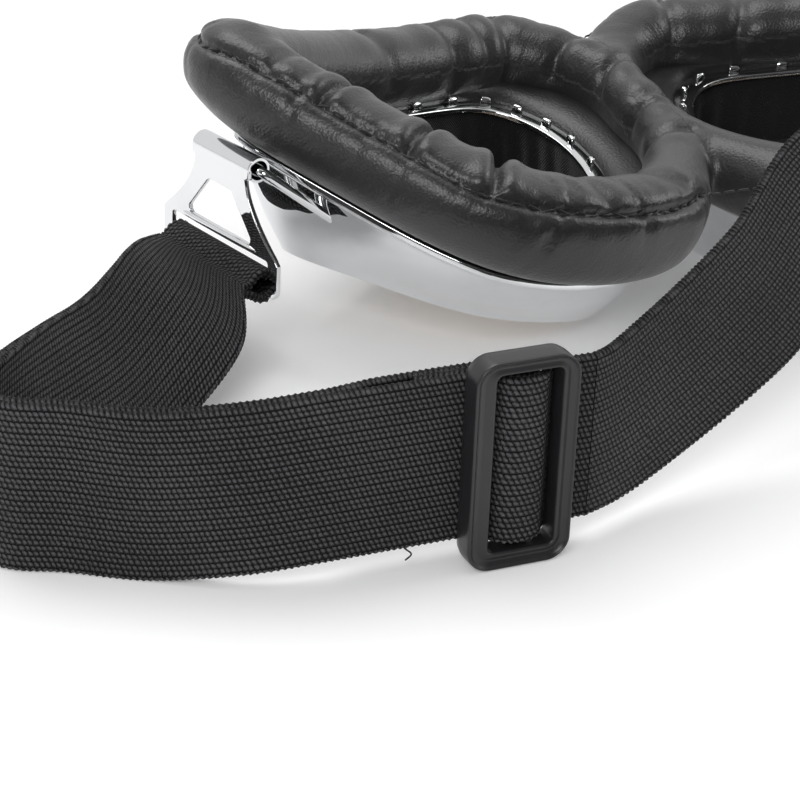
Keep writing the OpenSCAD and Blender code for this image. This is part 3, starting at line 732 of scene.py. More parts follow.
def at_lengths(points, along, at):
    """Points of a closed loop at distances along it."""
    closed = np.concatenate([points, points[:1]])
    return np.stack([np.interp(at, along, closed[:, i]) for i in range(3)], -1)


def seam_loop(count):
    """Points of the seam all round the pad: along each cup's roll, and across at the nose.

    On a roll it lies at the angle in SEAM_STEPS. The gaps at the nose are closed by the spline."""
    u = np.mod(np.linspace(SEAM_NOSE_CHIN, ROUND + SEAM_NOSE_BROW, SEAM_SAMPLES), ROUND)
    a = np.radians(np.interp(u, SEAM_STEPS[:, 0], SEAM_STEPS[:, 1]))
    right = roll_point(u, a)
    loop = np.concatenate([right, on_left(right)[::-1]])
    along = lengths(loop)
    knots = at_lengths(loop, along, np.linspace(0, along[-1], SEAM_KNOTS, endpoint=False))
    return spline(knots, np.arange(count) * SEAM_KNOTS / count, True)


# Folds across the roll: side, then u and degrees from outward at both ends, width and depth
FOLDS = np.array([
    [-1, 8.05, 47, 7.93, 150, 0.75, 1.7], [-1, 7.52, 46, 7.46, 165, 0.75, 1.8],
    [-1, 7.12, 40, 7.06, 165, 0.85, 2.2], [-1, 8.42, 50, 8.36, 120, 0.9, 0.6],
    [-1, 6.55, 38, 6.6, 120, 1.3, 0.6], [-1, 6.0, 45, 6.05, 160, 1.6, 0.8],
    [-1, 2.40, 70, 2.33, 215, 1.5, 1.1], [-1, 2.66, 60, 2.62, 200, 1.2, 0.8],
    [-1, 2.92, 60, 2.86, 215, 1.4, 1.2], [-1, 1.75, 80, 1.7, 200, 2.0, 0.8],
    [-1, 3.65, 60, 3.6, 190, 1.1, 1.0], [-1, 4.1, 30, 4.2, 185, 1.0, 1.1],
    [-1, 4.75, 40, 4.7, 190, 1.2, 1.0], [-1, 5.15, 40, 5.2, 180, 1.1, 0.9],
    [1, 2.3, 60, 2.35, 210, 1.5, 1.0], [1, 2.8, 60, 2.85, 200, 1.2, 0.9],
    [1, 4.6, 40, 4.65, 190, 1.2, 0.9], [1, 6.2, 45, 6.25, 165, 1.2, 1.0],
    [1, 7.0, 45, 7.05, 160, 1.1, 1.2], [1, 7.7, 50, 7.75, 160, 1.1, 1.1],
])


def fold_depth(points, folds):
    """Depth at each point of all folds. Across a fold it is a bell curve, less a lower and wider one
    on both sides, where the leather puffs up. Along it, it fades by a root of a fourth power."""
    depth = np.zeros(len(points))
    share = np.linspace(0, 1, 40)
    for side, u0, a0, u1, a1, width, deep in folds:
        line = roll_point(u0 + (u1 - u0) * share, np.radians(a0 + (a1 - a0) * share)) * [side, 1, 1]
        close = np.flatnonzero(np.abs(points - line[20]).max(1) < 30)
        k, away = nearest(points[close], line)
        taper = np.sqrt(np.maximum(0.0, 1 - (2 * share[k] - 1) ** 4))
        puff = np.exp(-(((away - 3 * width) / (1.8 * width)) ** 2))
        depth[close] += deep * taper * (np.exp(-((away / width) ** 2)) - 0.3 * puff)
    return depth


class GOGGLES_OT_pad(bpy.types.Operator):
    """Sew the stuffed face pad, with its seam, gathers and stitches"""

    bl_idname = "goggles.pad"
    bl_label = "Face Pad"

    def execute(self, context):
        s = context.scene.goggles_pad
        u, a = np.meshgrid(stations(ROLL_STEPS), TURN * np.arange(ROLL_SIDES) / ROLL_SIDES, indexing="ij")
        right = roll_point(u, a)
        points, faces, _, _ = joined([loft(turn(right), True) for _, turn in reversed(SIDES)])
        skin = leather("Pad leather", tuple(s.colour))
        pad = new_piece("face_pad", points, faces, skin, "leather")
        voxel = s.voxel
        mend = pad.modifiers.new("Join", "REMESH")
        mend.mode, mend.voxel_size = "VOXEL", voxel * MM
        mesh = evaluated_mesh(pad)
        points, _, edges = mesh_points(mesh)
        points = relaxed(points, edges, np.full(len(points), 0.5), 3)
        rounds = int(NOSE_ROUNDS * (0.8 / voxel) ** 2)
        near_nose = 1 - ease(np.abs(points[:, 0]), NOSE_FROM, NOSE_TO)
        points = relaxed(points, edges, NOSE_WEIGHT * near_nose, rounds)
        points = self.sewn(mesh, points, s)
        set_points(mesh, points)
        mesh.polygons.foreach_set("use_smooth", np.ones(len(mesh.polygons), bool))
        mesh.materials.clear()
        mesh.materials.append(skin)
        mesh.update()
        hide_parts("left_pad", "right_pad", "nose_pad")
        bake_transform(pad)
        self.stitches(points, s)
        return {"FINISHED"}

    def sewn(self, mesh, points, s):
        """Pulls in the seam channel, its gathers and the folds, and puffs the leather up beside them.

        Each point knows its nearest seam point: how far along the seam it is, and how far across. The
        channel and each gather are bell curves of those distances. The attribute wrap keeps places
        that run round the roll for the leather's drag wrinkles."""
        loop = seam_loop(CHANNEL_POINTS)
        loop = points[nearest(loop, points)[0]] * 0.5 + loop * 0.5
        near, across = nearest(points, loop)
        length = lengths(loop)[-1]
        along = near / len(loop) * length
        middle_u = stations(MIDDLE_POINTS)
        p, out, half_w, half_h, z = roll_frame(middle_u)
        middle = np.concatenate([p, z[:, None]], 1)
        folded = np.stack([np.abs(points[:, 0]), points[:, 1], points[:, 2]], 1)
        k, _ = nearest(folded, middle)
        offset = folded - middle[k]
        angle = np.arctan2(offset[:, 2] / half_h[k], (offset[:, :2] * out[k]).sum(1) / half_w[k])
        seam_at = np.radians(np.interp(middle_u[k], SEAM_STEPS[:, 0], SEAM_STEPS[:, 1]))
        side = np.sign(np.mod(angle - seam_at + math.pi, TURN) - math.pi)
        signed = across * side
        channel = s.seam_depth * (0.4 * np.exp(-(((across - 4 * CHANNEL_W) / 2.2) ** 2))
                                  - np.exp(-((across / CHANNEL_W) ** 2)))
        random = np.random.default_rng(7)
        count = int(length / GATHER_PITCH)
        place = (np.arange(count) + random.uniform(-0.3, 0.3, count)) * length / count
        deep = s.gather_depth * (0.08 + 0.5 * random.uniform(0, 1.0, count) ** 4)
        wide = random.uniform(0.6, 1.3, count)
        reach = random.uniform(3, 9, (2, count))
        lean = random.uniform(-0.5, 0.5, count)
        gathers = np.zeros(len(points))
        for i in range(count):
            gap = np.mod(along - place[i] - lean[i] * signed + length / 2, length) - length / 2
            fall = np.exp(-((signed / np.where(signed > 0, reach[0, i], reach[1, i])) ** 2))
            gathers -= deep[i] * np.exp(-((gap / wide[i]) ** 2)) * fall
            gathers += 0.3 * deep[i] * np.exp(-(((np.abs(gap) - 3 * wide[i]) / (2 * wide[i])) ** 2)) * fall
        top = ease(points[:, 2] - rim_z(points[:, :2]), 2, 6)
        set_points(mesh, points)
        mesh.update()
        normals = mesh_points(mesh)[1]
        move = channel + gathers * top - fold_depth(points, FOLDS)
        theta = TURN * middle_u[k] / ROUND + 0.5 * (angle - seam_at) * 0.2
        wrap = np.stack([40 * np.cos(theta), 40 * np.sin(theta) * np.sign(points[:, 0]), angle * 9], 1)
        store = mesh.attributes.new("wrap", "FLOAT_VECTOR", "POINT")
        store.data.foreach_set("vector", wrap.astype(np.float32).ravel())
        return points + normals * move[:, None]

    def stitches(self, points, s):
        """Short threads along the seam's floor: rods that swell to their middle and dip at both ends."""
        loop = seam_loop(STITCH_POINTS)
        k, _ = nearest(loop, points)
        order = np.arange(STITCH_POINTS)
        loop = relaxed(points[k], np.stack([order, np.roll(order, -1)], 1),
                       np.full(STITCH_POINTS, 0.5), 12)
        along = lengths(loop)
        count = int(along[-1] / (s.stitch + STITCH_GAP))
        rods = []
        for i in range(count):
            at = i * along[-1] / count + s.stitch * STITCH_SHARES
            path = at_lengths(loop, along, np.mod(at, along[-1]))
            path[[0, -1], 2] -= STITCH_DIP
            rods.append(loft(rod_grid(path, STITCH_RADII, 6), False))
        seam = lofted_piece("pad_seam_stitches", rods, thread("Seam thread", SEAM_BLACK), "thread")
        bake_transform(seam)


# The chrome cups
# The clamp ring's thickness, reach past the band and height over the rim, then a tab's half width
# and height
CLAMP, CLAMP_W, CLAMP_LOW = 0.8, 2.6, BASE_T + 2 * FIT
CLAMP_TAB_HALF, CLAMP_TAB_RISE = 1.0, 1.6
# The cup's flange: how far its rim stands out and hangs down, and how far it reaches in
FLANGE_OUT, FLANGE_DOWN, FLANGE_IN = 0.8, 1.3, 4
# The lining: height of its foot over the retaining ring, thickness, and depth and number of its pleats
LINING_FOOT, LINING_T, PLEAT, PLEATS = 3.4, 1, 0.25, 34
PANEL_T = 0.5
# Corner roundings of the cup, backing band, rings and gasket
CUP_ROUND, BAND_ROUND, RING_ROUND, GASKET_ROUND = 0.35, 0.4, 0.22, 0.2


def cup_section(u):
    """Closed section of the pressed cup: flange, side wall, bezel, and back inside the metal."""
    outer = [rim_point(u, -FLANGE_OUT, 0), rim_point(u, -FLANGE_OUT, -FLANGE_DOWN)]
    outer += [wall_point(u, f) for f in np.linspace(0, 1, 9)]
    outer += [bezel_point(u, BEZEL_IN + 1, 0), bezel_point(u, OPENING_IN, 0)]
    inner = [bezel_point(u, OPENING_IN, SHELL), bezel_point(u, BEZEL_IN + 1.6, SHELL)]
    inner += [wall_point(u, f, SHELL) for f in np.linspace(1, 0.03, 8)]
    inner += [rim_point(u, FLANGE_IN, -SHELL), rim_point(u, FLANGE_IN, 0)]
    return np.stack(outer + inner, 1)


def plane_section(u, outer, inner, low, high):
    """Closed section of a flat ring: a rectangle between two insets and two heights over the lens."""
    return np.stack([bezel_point(u, outer, low), bezel_point(u, inner, low),
                     bezel_point(u, inner, high), bezel_point(u, outer, high)], 1)


# Corners of a tab's section, along the ring and towards its middle, and half its thickness
TAB_CORNERS = np.array([[-1, -1], [1, -1], [1, 1], [-1, 1]])
TAB_HALF_T, TAB_ROUND = RING / 2 - 0.05, 0.18


def bent_tab(place, tangent, inward, up, half, height):
    """A thin tab that rises from a ring, curls over and ends rounded: seven rectangles, whose rise,
    lean and width are shares of its height and half width."""
    rise = height * np.array([-0.2, 0.12, 0.36, 0.62, 0.83, 0.95, 1.0])
    lean = height * np.array([0.12, 0.05, 0.0, -0.02, -0.1, -0.2, -0.3])
    width = half * np.array([1.0, 1.0, 1.0, 0.98, 0.9, 0.7, 0.4])
    rows = [place + inward * n + up * r + TAB_CORNERS[:, :1] * tangent * w
            + TAB_CORNERS[:, 1:] * inward * TAB_HALF_T for r, n, w in zip(rise, lean, width)]
    return softened(np.stack(rows), TAB_ROUND, 2)


class GOGGLES_OT_cups(bpy.types.Operator):
    """Press the chrome cups and lay their backing bands and linings"""

    bl_idname = "goggles.cups"
    bl_label = "Cups"

    def execute(self, context):
        s = context.scene.goggles_metal
        u = stations(s.steps)
        plate = chrome("Chrome plate", tuple(s.chrome))
        cloth = lining_cloth("Lining cloth", CLOTH_BLACK)
        backing = plain_leather("Backing leather", CLOTH_BLACK)
        skin = leather("Panel leather", PANEL_BLACK)
        steel = chrome("Clamp steel", tuple(s.chrome), 0.06)
        cup = softened(cup_section(u), CUP_ROUND)
        band = softened(np.stack([
            rim_point(u, -0.3, FIT + BASE_T), rim_point(u, -0.3, FIT), rim_point(u, BASE_W, FIT),
            rim_point(u, BASE_W, FIT + BASE_T)], 1), BAND_ROUND)
        clamp = softened(np.stack([
            rim_point(u, BASE_W - CLAMP, CLAMP_LOW + CLAMP), rim_point(u, BASE_W - CLAMP, CLAMP_LOW),
            rim_point(u, BASE_W + CLAMP_W, CLAMP_LOW), rim_point(u, BASE_W + CLAMP_W, CLAMP_LOW + CLAMP),
            rim_point(u, BASE_W + CLAMP_W / 2, CLAMP_LOW + CLAMP + 0.2)], 1), RING_ROUND)
        panel, lining = self.panel(u), self.lining(u)
        for side, turn in SIDES:
            for name, grid, material, slot, node in (
                    ("cup", cup, plate, "chrome", "frame"),
                    ("backing_band", band, backing, "backing", "pad_base"),
                    ("eye_lining_cloth", lining, cloth, "lining", "eye_lining"),
                    ("clamp_hoop", clamp, steel, "ring_steel", "clamp_ring")):
                lofts = [loft(turn(grid), True)]
                if name == "clamp_hoop":
                    lofts += [loft(turn(self.clamp_tab(k, s.clamp_tabs)), False)
                              for k in range(s.clamp_tabs)]
                piece = lofted_piece(f"{side}_{name}", lofts, material, slot)
                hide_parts(f"{side}_{node}")
                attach(piece, f"{side}_cup")
            piece = lofted_piece(f"{side}_inner_panel", [loft(turn(panel), True)], skin, "leather")
            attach(piece, f"{side}_cup")
        return {"FINISHED"}

    def lining(self, u):
        """The eye lining: straight from the band down to the retaining ring and back up inside, with
        a sine of pleats round the cup that dies out at both ends."""
        foot = SHELL + GASKET + LENS + RING + LINING_FOOT
        flat = np.concatenate([line_at(u) - CUP_MID, np.zeros((len(u), 1))], 1)
        pleat = PLEAT * np.sin(u * TURN / ROUND * PLEATS)[:, None] * unit(flat)
        top, bottom = BASE_W + FIT, LENS_IN + 0.4
        walls = ((rim_point(u, top, BASE_T), bezel_point(u, bottom, foot)),
                 (bezel_point(u, bottom + LINING_T, foot), rim_point(u, top + LINING_T, BASE_T)))
        return np.stack([start + (end - start) * f + pleat * math.sin(math.pi * f)
                         for start, end in walls for f in np.linspace(0, 1, 8)], 1)

    def panel(self, u):
        """The leather that comes down from inside the roll and goes under the clamp ring: an arc
        from the roll's inner side to the ring's outer edge, bulged towards the eye."""
        top = roll_point(u, np.full(len(u), math.radians(206)))
        core = roll_point(u, np.full(len(u), math.radians(200)))
        top = top + (np.concatenate([line_at(u), core[:, 2:]], 1) - core) * 0.25
        foot = rim_point(u, BASE_W - CLAMP + 0.3, CLAMP_LOW - 0.1)
        shares = np.linspace(0, 1, 9)
        flat = np.concatenate([CUP_MID - line_at(u), np.zeros((len(u), 1))], 1)
        bulge = (unit(flat) + [0, 0, 0.5]) * 0.16 * np.linalg.norm(foot - top, axis=1)[:, None]
        front = [top + (foot - top) * f + bulge * math.sin(math.pi * f) for f in shares]
        back = [p - unit(bulge) * PANEL_T for p in front[::-1]]
        return np.stack(front + back, 1)

    def clamp_tab(self, k, count):
        """One small tab bent up from the clamp ring, k of count round it."""
        u = (k + 0.5) * ROUND / count
        a, b = (rim_point(np.array([u + d]), BASE_W + 1, CLAMP_LOW + CLAMP)[0] for d in (-0.05, 0.05))
        tangent = unit(b - a)
        inward = unit(np.cross([0, 0, 1.0], tangent))
        return bent_tab((a + b) / 2, tangent, inward, np.array([0, 0, 1.0]), CLAMP_TAB_HALF,
                        CLAMP_TAB_RISE)


# Rise of a retaining tab's rows over its ring, their lean towards the lens's middle and half width
RISE_LEAN_HALF = np.array([
    [0, 0.55, 2.5], [0.5, 0.2, 2.5], [1.1, 0.05, 2.5], [1.8, 0.0, 2.5], [2.5, -0.05, 2.45],
    [3.1, -0.25, 2.25], [3.55, -0.6, 1.7], [3.75, -0.95, 0.9]])
LENS_EDGE = 0.25


class GOGGLES_OT_lenses(bpy.types.Operator):
    """Fit the smoke lenses, their gaskets and the tabbed retaining rings"""

    bl_idname = "goggles.lenses"
    bl_label = "Lenses"

    def execute(self, context):
        s = context.scene.goggles_metal
        u = stations(s.steps)
        glass = smoke_glass("Smoke lens", tuple(s.glass))
        steel = chrome("Ring steel", tuple(c * 0.92 for c in s.chrome), 0.08)
        black = rubber("Gasket rubber")
        low = SHELL + GASKET
        ring_low = low + LENS
        edges = bezel_point(u, LENS_IN, low), bezel_point(u, LENS_IN, ring_low)
        ring = softened(plane_section(u, LENS_IN, RING_IN, ring_low, ring_low + RING), RING_ROUND)
        gasket = softened(plane_section(u, LENS_IN, OPENING_IN - 0.3, SHELL, low), GASKET_ROUND)
        for side, turn in SIDES:
            points, faces = self.lens(*map(turn, edges))
            lens = new_piece(f"{side}_smoke_lens", points, faces, glass, "smoke_lens")
            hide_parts(f"{side}_lens")
            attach(lens, f"{side}_cup")
            seal = lofted_piece(f"{side}_gasket", [loft(turn(gasket), True)], black, "gasket_rubber")
            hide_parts(f"{side}_lens_gasket")
            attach(seal, f"{side}_cup")
            tabs = [loft(turn(self.tab(k, s.tabs, ring_low)), False) for k in range(s.tabs)]
            lofts = [loft(turn(ring), True)] + tabs
            hoop = lofted_piece(f"{side}_tabbed_ring", lofts, steel, "ring_steel")
            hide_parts(f"{side}_retaining_ring")
            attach(hoop, f"{side}_cup")
        return {"FINISHED"}

    def lens(self, edge_low, edge_high):
        """The lens: a wall between its two edges, a narrow slope inside each, and two flat faces."""
        n = len(edge_low)
        centre = edge_low.mean(0)
        up = unit(edge_high[0] - edge_low[0]) * LENS_EDGE
        inner_low, inner_high = (edge + unit(centre - edge) * LENS_EDGE for edge in (edge_low, edge_high))
        grid = np.stack([inner_low, edge_low + up, edge_high - up, inner_high], 0)
        points = grid.reshape(-1, 3)
        corners = grid_faces(4, n, False, True)
        faces = corners[..., 0] * n + corners[..., 1] % n
        if np.sum(unit(np.cross(points[faces[:, 1]] - points[faces[:, 0]],
                                points[faces[:, 2]] - points[faces[:, 0]]))
                  * (points[faces[:, 0]] - centre)) < 0:
            faces = faces[:, ::-1]
            caps = [np.arange(n).tolist(), (np.arange(n) + 3 * n)[::-1].tolist()]
        else:
            caps = [np.arange(n)[::-1].tolist(), (np.arange(n) + 3 * n).tolist()]
        return points, faces.tolist() + caps

    def tab(self, k, count, ring_low):
        """One bent tab, k of count: a thin strip that rises from the ring, curls outwards and ends
        rounded."""
        u = (k + 0.5) * ROUND / count
        a, b = cup_plan(np.array([u - 0.05]), LENS_IN)[0], cup_plan(np.array([u + 0.05]), LENS_IN)[0]
        tangent = unit(b - a)
        inward = np.array([-tangent[1], tangent[0]])
        base = (a + b) / 2 + inward * (0.5 + RING / 2)
        rows = [over_lens(base + inward * lean + TAB_CORNERS[:, :1] * tangent * half
                          + TAB_CORNERS[:, 1:] * inward * TAB_HALF_T, ring_low + rise)
                for rise, lean, half in RISE_LEAN_HALF]
        return softened(np.stack(rows), TAB_ROUND, 2)


# Hinges: the right bail's axis, how far it is turned in plan, the barrel's radii and length, and the
# staple's wire
HINGE = np.array([82.3, -3.0, 32.5])
HINGE_TURN = math.radians(14)
BARREL_OUT, BARREL_IN, BARREL_LEN = 2.2, 1.6, 16.0
BARREL_STEPS, SLIT_FROM, SLIT_TO, SPIRAL = 60, -6, 318, 0.12
WIRE, WIRE_FOOT_IN, WIRE_BEND = 0.85, 0.8, 1.1
# The bail's plate: thickness, half width of its foot, drop from the axis, slot, foot bar and cross bar
PLATE, FOOT_HALF, DROP, SLOT_H, FOOT_BAR, CROSS_BAR = 0.9, 16.4, 19.5, 3.0, 3.1, 1.2
SLOT_TOP = -(DROP - FOOT_BAR - SLOT_H)
SLOT_HALF, WINDOW_FOOT_HALF, WINDOW_TOP_HALF, WINDOW_TOP = 13.8, 9.9, 3.2, -4.5
PLATE_EDGE = 0.2
PLATE_X = HINGE[0] + BARREL_OUT - PLATE
# The rolled lip: half length, radius and points
LIP_HALF, LIP_R, LIP_STEPS = 10.4, 0.62, 30
BRIDGE_NODES = ("left_bridge_bracket", "right_bridge_bracket", "left_bracket_rivets",
                "right_bracket_rivets", "bridge_pin")


def turned(points):
    """Points drawn with the barrel along Y, turned about the hinge so that its chin end comes in."""
    p = np.array(points, float)
    out, along = p[..., 0] - HINGE[0], p[..., 1] - HINGE[1]
    cosine, sine = math.cos(HINGE_TURN), math.sin(HINGE_TURN)
    p[..., 0] = HINGE[0] + out * cosine + along * sine
    p[..., 1] = HINGE[1] - out * sine + along * cosine
    return p


def bent(points, radius, steps=6):
    """A path whose corners are rounded by parabolas that start radius away from them."""
    p = np.asarray(points, float)
    path = [p[:1]]
    t = np.linspace(0, 1, steps)[:, None]
    for before, corner, after in zip(p, p[1:], p[2:]):
        a = corner + unit(before - corner) * min(radius, 0.45 * np.linalg.norm(before - corner))
        b = corner + unit(after - corner) * min(radius, 0.45 * np.linalg.norm(after - corner))
        path.append(a * (1 - t) ** 2 + corner * 2 * t * (1 - t) + b * t**2)
    return np.concatenate(path + [p[-1:]])


def rounded_outline(corners, steps=7):
    """An outline of arcs, one tangent to both sides of each corner. A row is a corner's two places
    and the arc's radius."""
    c = np.asarray(corners, float)
    path = []
    for i, (x, y, radius) in enumerate(c):
        q, a, b = np.array([x, y]), c[i - 1, :2], c[(i + 1) % len(c), :2]
        a, b = unit(a - q), unit(b - q)
        half = math.acos(np.clip(a @ b, -1, 1)) / 2
        middle = q + unit(a + b) * radius / math.sin(half)
        start, end = q + a * radius / math.tan(half) - middle, q + b * radius / math.tan(half) - middle
        t = np.linspace(0, 1, steps)[:, None]
        bow = unit(start * (1 - t) + end * t) * radius
        path.append(middle + bow)
    return np.concatenate(path)


def rounded_box(low_x, high_x, low_z, high_z, radius, steps):
    """A rectangle with an arc of some steps at each corner."""
    return rounded_outline([[low_x, low_z, radius], [high_x, low_z, radius],
                            [high_x, high_z, radius], [low_x, high_z, radius]], steps)


def plate_from(outline, holes, thickness, bevel):
    """Points and faces of a flat plate with holes and rounded edges, drawn in two directions."""
    curve = bpy.data.curves.new("plate", "CURVE")
    curve.dimensions, curve.fill_mode = "2D", "BOTH"
    curve.extrude, curve.bevel_depth, curve.bevel_resolution = thickness / 2 - bevel, bevel, 3
    curve.offset = -bevel
    for ring in [outline] + holes:
        line = curve.splines.new("POLY")
        line.points.add(len(ring) - 1)
        flat = np.concatenate([ring, np.zeros((len(ring), 1)), np.ones((len(ring), 1))], 1)
        line.points.foreach_set("co", flat.ravel())
        line.use_cyclic_u = True
    blank = bpy.data.objects.new("plate", curve)
    bpy.context.scene.collection.objects.link(blank)
    graph = bpy.context.evaluated_depsgraph_get()
    mesh = bpy.data.meshes.new_from_object(blank.evaluated_get(graph))
    points = np.empty(3 * len(mesh.vertices))
    mesh.vertices.foreach_get("co", points)
    faces = [list(face.vertices) for face in mesh.polygons]
    bpy.data.objects.remove(blank)
    bpy.data.curves.remove(curve)
    return points.reshape(-1, 3), faces


class GOGGLES_OT_hinges(bpy.types.Operator):
    """Bend the hinge staples, roll the bails and finish the nose hinge"""

    bl_idname = "goggles.hinges"
    bl_label = "Hinges and Bails"

    def execute(self, context):
        s = context.scene.goggles_metal
        plate = chrome("Hinge chrome", tuple(s.chrome), 0.06)
        for side, turn in SIDES:
            rod = loft(turn(rod_grid(self.wire(), WIRE, 20, True)), False)
            staple = lofted_piece(f"{side}_wire_staple", [rod], plate, "chrome", True)
            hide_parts(f"{side}_hinge_staple")
            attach(staple, f"{side}_cup")
            lofts = [loft(turn(grid), False) for grid in (self.barrel(), self.lip())]
            barrel = lofted_piece(f"{side}_rolled_barrel", lofts, plate, "chrome", True)
            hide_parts(f"{side}_bail")
            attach(barrel, f"{side}_bail")
            points, faces = self.plate()
            points = turn(points)
            if side == "left":
                faces = [face[::-1] for face in faces]
            sheet = new_piece(f"{side}_bail_plate", points, faces, plate, "chrome")
            sheet.data.set_sharp_from_angle(angle=math.radians(35))
            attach(sheet, f"{side}_bail")
        for node in BRIDGE_NODES:
            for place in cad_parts[node].material_slots:
                place.link = "OBJECT"
                place.material = plate
        return {"FINISHED"}

    def wire(self):
        """Path of the wire: out of the cup's wall, along the barrel and back into the wall."""
        reach = BARREL_LEN / 2 + 0.6 + WIRE
        u = np.linspace(-1.3, 1.3, 400)
        wall = wall_point(np.mod(u, ROUND), 0.3)
        ends = turned([[HINGE[0], HINGE[1] + k * reach, HINGE[2]] for k in (-1, 1)])
        feet = []
        for y in ends[:, 1]:
            foot = np.array([np.interp(y, wall[:, 1], wall[:, i]) for i in range(3)])
            inward = unit(np.array([CUP_MID[0], CUP_MID[1], foot[2]]) - foot)
            feet.append(foot + inward * WIRE_FOOT_IN)
        return bent([feet[0], ends[0], ends[1], feet[1]], WIRE_BEND, 7)

    def barrel(self):
        """The barrel: a sheet rolled in a spiral round the wire, open by a slit over the plate."""
        a = np.radians(np.linspace(SLIT_FROM, SLIT_TO, BARREL_STEPS))
        grow = np.linspace(0, SPIRAL, BARREL_STEPS)
        outer = np.stack([np.cos(a), np.sin(a)], -1) * (BARREL_OUT - grow)[:, None]
        inner = np.stack([np.cos(a), np.sin(a)], -1) * (BARREL_IN - grow / 3)[:, None]
        ring = np.concatenate([outer, inner[::-1]])
        end = np.array([0, 0.12, 0.3, 1]) - BARREL_LEN / 2
        y = np.concatenate([end, [0], -end[::-1]])
        thin = np.array([0.24, 0.1, 0.0, 0, 0, 0, 0.0, 0.1, 0.24])
        core = unit(ring) * (BARREL_OUT + BARREL_IN) / 2
        rows = []
        for place, t in zip(y, thin):
            section = ring + (core - ring) * t
            rows.append(np.stack([HINGE[0] + section[:, 0], np.full(len(section), HINGE[1] + place),
                                  HINGE[2] + section[:, 1]], -1))
        return turned(rows)

    def lip(self):
        """The rolled lip over the strap slot: a rod half sunk in the plate's outer face."""
        y = np.linspace(-LIP_HALF, LIP_HALF, LIP_STEPS)
        z = SLOT_TOP + CROSS_BAR / 2 + 0.1
        thick = LIP_R * np.sqrt(np.maximum(0.02, 1 - (np.abs(y) / (LIP_HALF + 0.2)) ** 6))
        path = np.stack([np.full(LIP_STEPS, PLATE_X + PLATE - 0.12), HINGE[1] + y,
                         np.full(LIP_STEPS, HINGE[2] + z)], -1)
        return rod_grid(turned(path), thick, 16)

    def plate(self):
        """The flared plate with its window and strap slot, drawn as Y and Z from the hinge's axis."""
        f = np.linspace(0, 1, 18)
        neck, flare_top, flare_foot = BARREL_LEN / 2, -1.5, SLOT_TOP + 0.3
        y = neck - 0.8 + (FOOT_HALF - neck + 0.8) * f**1.7
        z = flare_top + (flare_foot - flare_top) * f
        right = np.stack([y, z], -1)
        corner = rounded_outline([[FOOT_HALF, flare_foot, 0.3], [FOOT_HALF, -DROP, 1.6],
                                  [-FOOT_HALF, -DROP, 1.6], [-FOOT_HALF, flare_foot, 0.3]])[6:-6]
        top = np.array([[-neck, flare_top + 0.4], [-neck, 0.2], [neck, 0.2], [neck, flare_top + 0.4]])
        outline = np.concatenate([top, right[:-1], corner, (right * [-1, 1])[-2::-1]])
        foot = SLOT_TOP + CROSS_BAR
        window = rounded_outline([[-WINDOW_FOOT_HALF, foot, 0.9], [WINDOW_FOOT_HALF, foot, 0.9],
                                  [WINDOW_TOP_HALF, WINDOW_TOP, 1.6], [-WINDOW_TOP_HALF, WINDOW_TOP, 1.6]])
        slot = rounded_box(-SLOT_HALF, SLOT_HALF, SLOT_TOP - SLOT_H, SLOT_TOP, 0.6, 7)
        points, faces = plate_from(outline, [window, slot], PLATE, PLATE_EDGE)
        place = np.stack([PLATE_X + PLATE / 2 + points[:, 2], HINGE[1] + points[:, 0],
                          HINGE[2] + points[:, 1]], -1)
        return turned(place), faces


# The elastic strap: width, thickness, pitch of two layers, and height of its lower edge at the slider
STRAP_W, STRAP_T, LAYER = 26.0, 1.2, 1.5
STRAP_LIFT = 3.35
# Where its layers run beside the slider, and where its straight part starts and ends
OUTER_Y, INNER_Y, STRAIGHT_FROM, RIGHT_FROM = -84.75, -83.25, -98.0, -58.0
BAR = np.array([PLATE_X + PLATE / 2, HINGE[2] - DROP + FOOT_BAR / 2])
LEAD = BAR + [4.2, -0.15]
# The slider: back and front, ends, foot and top, ends of its window, and its rim and middle bars
SLIDER_BACK, SLIDER_FRONT = -85.5, -90.1
SLIDER_LEFT, SLIDER_RIGHT, SLIDER_LOW, SLIDER_HIGH = -79.0, -62.8, 0.1, 32.6
GAP_LEFT, GAP_RIGHT, RIM_BAR = -75.4, -65.2, 2.4
BAR_MID = (GAP_LEFT + GAP_RIGHT) / 2
HALF_BAR, BAR_T = 1.1, 1.2
# Places of the layers woven through the slider, each its thickness and a gap behind the one before
NEXT = STRAP_T + 0.15
SEWN_Y, UNDER_Y = OUTER_Y + NEXT, OUTER_Y + 2 * NEXT
TAIL_FRONT = SLIDER_BACK - BAR_T - STRAP_T / 2 - 0.15
OVER_Y = TAIL_FRONT - NEXT
WEAVE_LEFT, TAIL_LEFT = SLIDER_LEFT - 3.3, SLIDER_LEFT - 6.6


def bail_row(x, side):
    """Both edges of the strap where it lies flat at a bail."""
    far, near = turned([[x, HINGE[1] + k * STRAP_W / 2, LEAD[1]] for k in (1, -1)])
    return [side * far[0], far[1], far[2], side * near[0], near[1], near[2]]


def upright(x, y, z=STRAP_LIFT):
    """Both edges of the strap where it stands on edge."""
    return [x, y, z + STRAP_W, x, y, z]


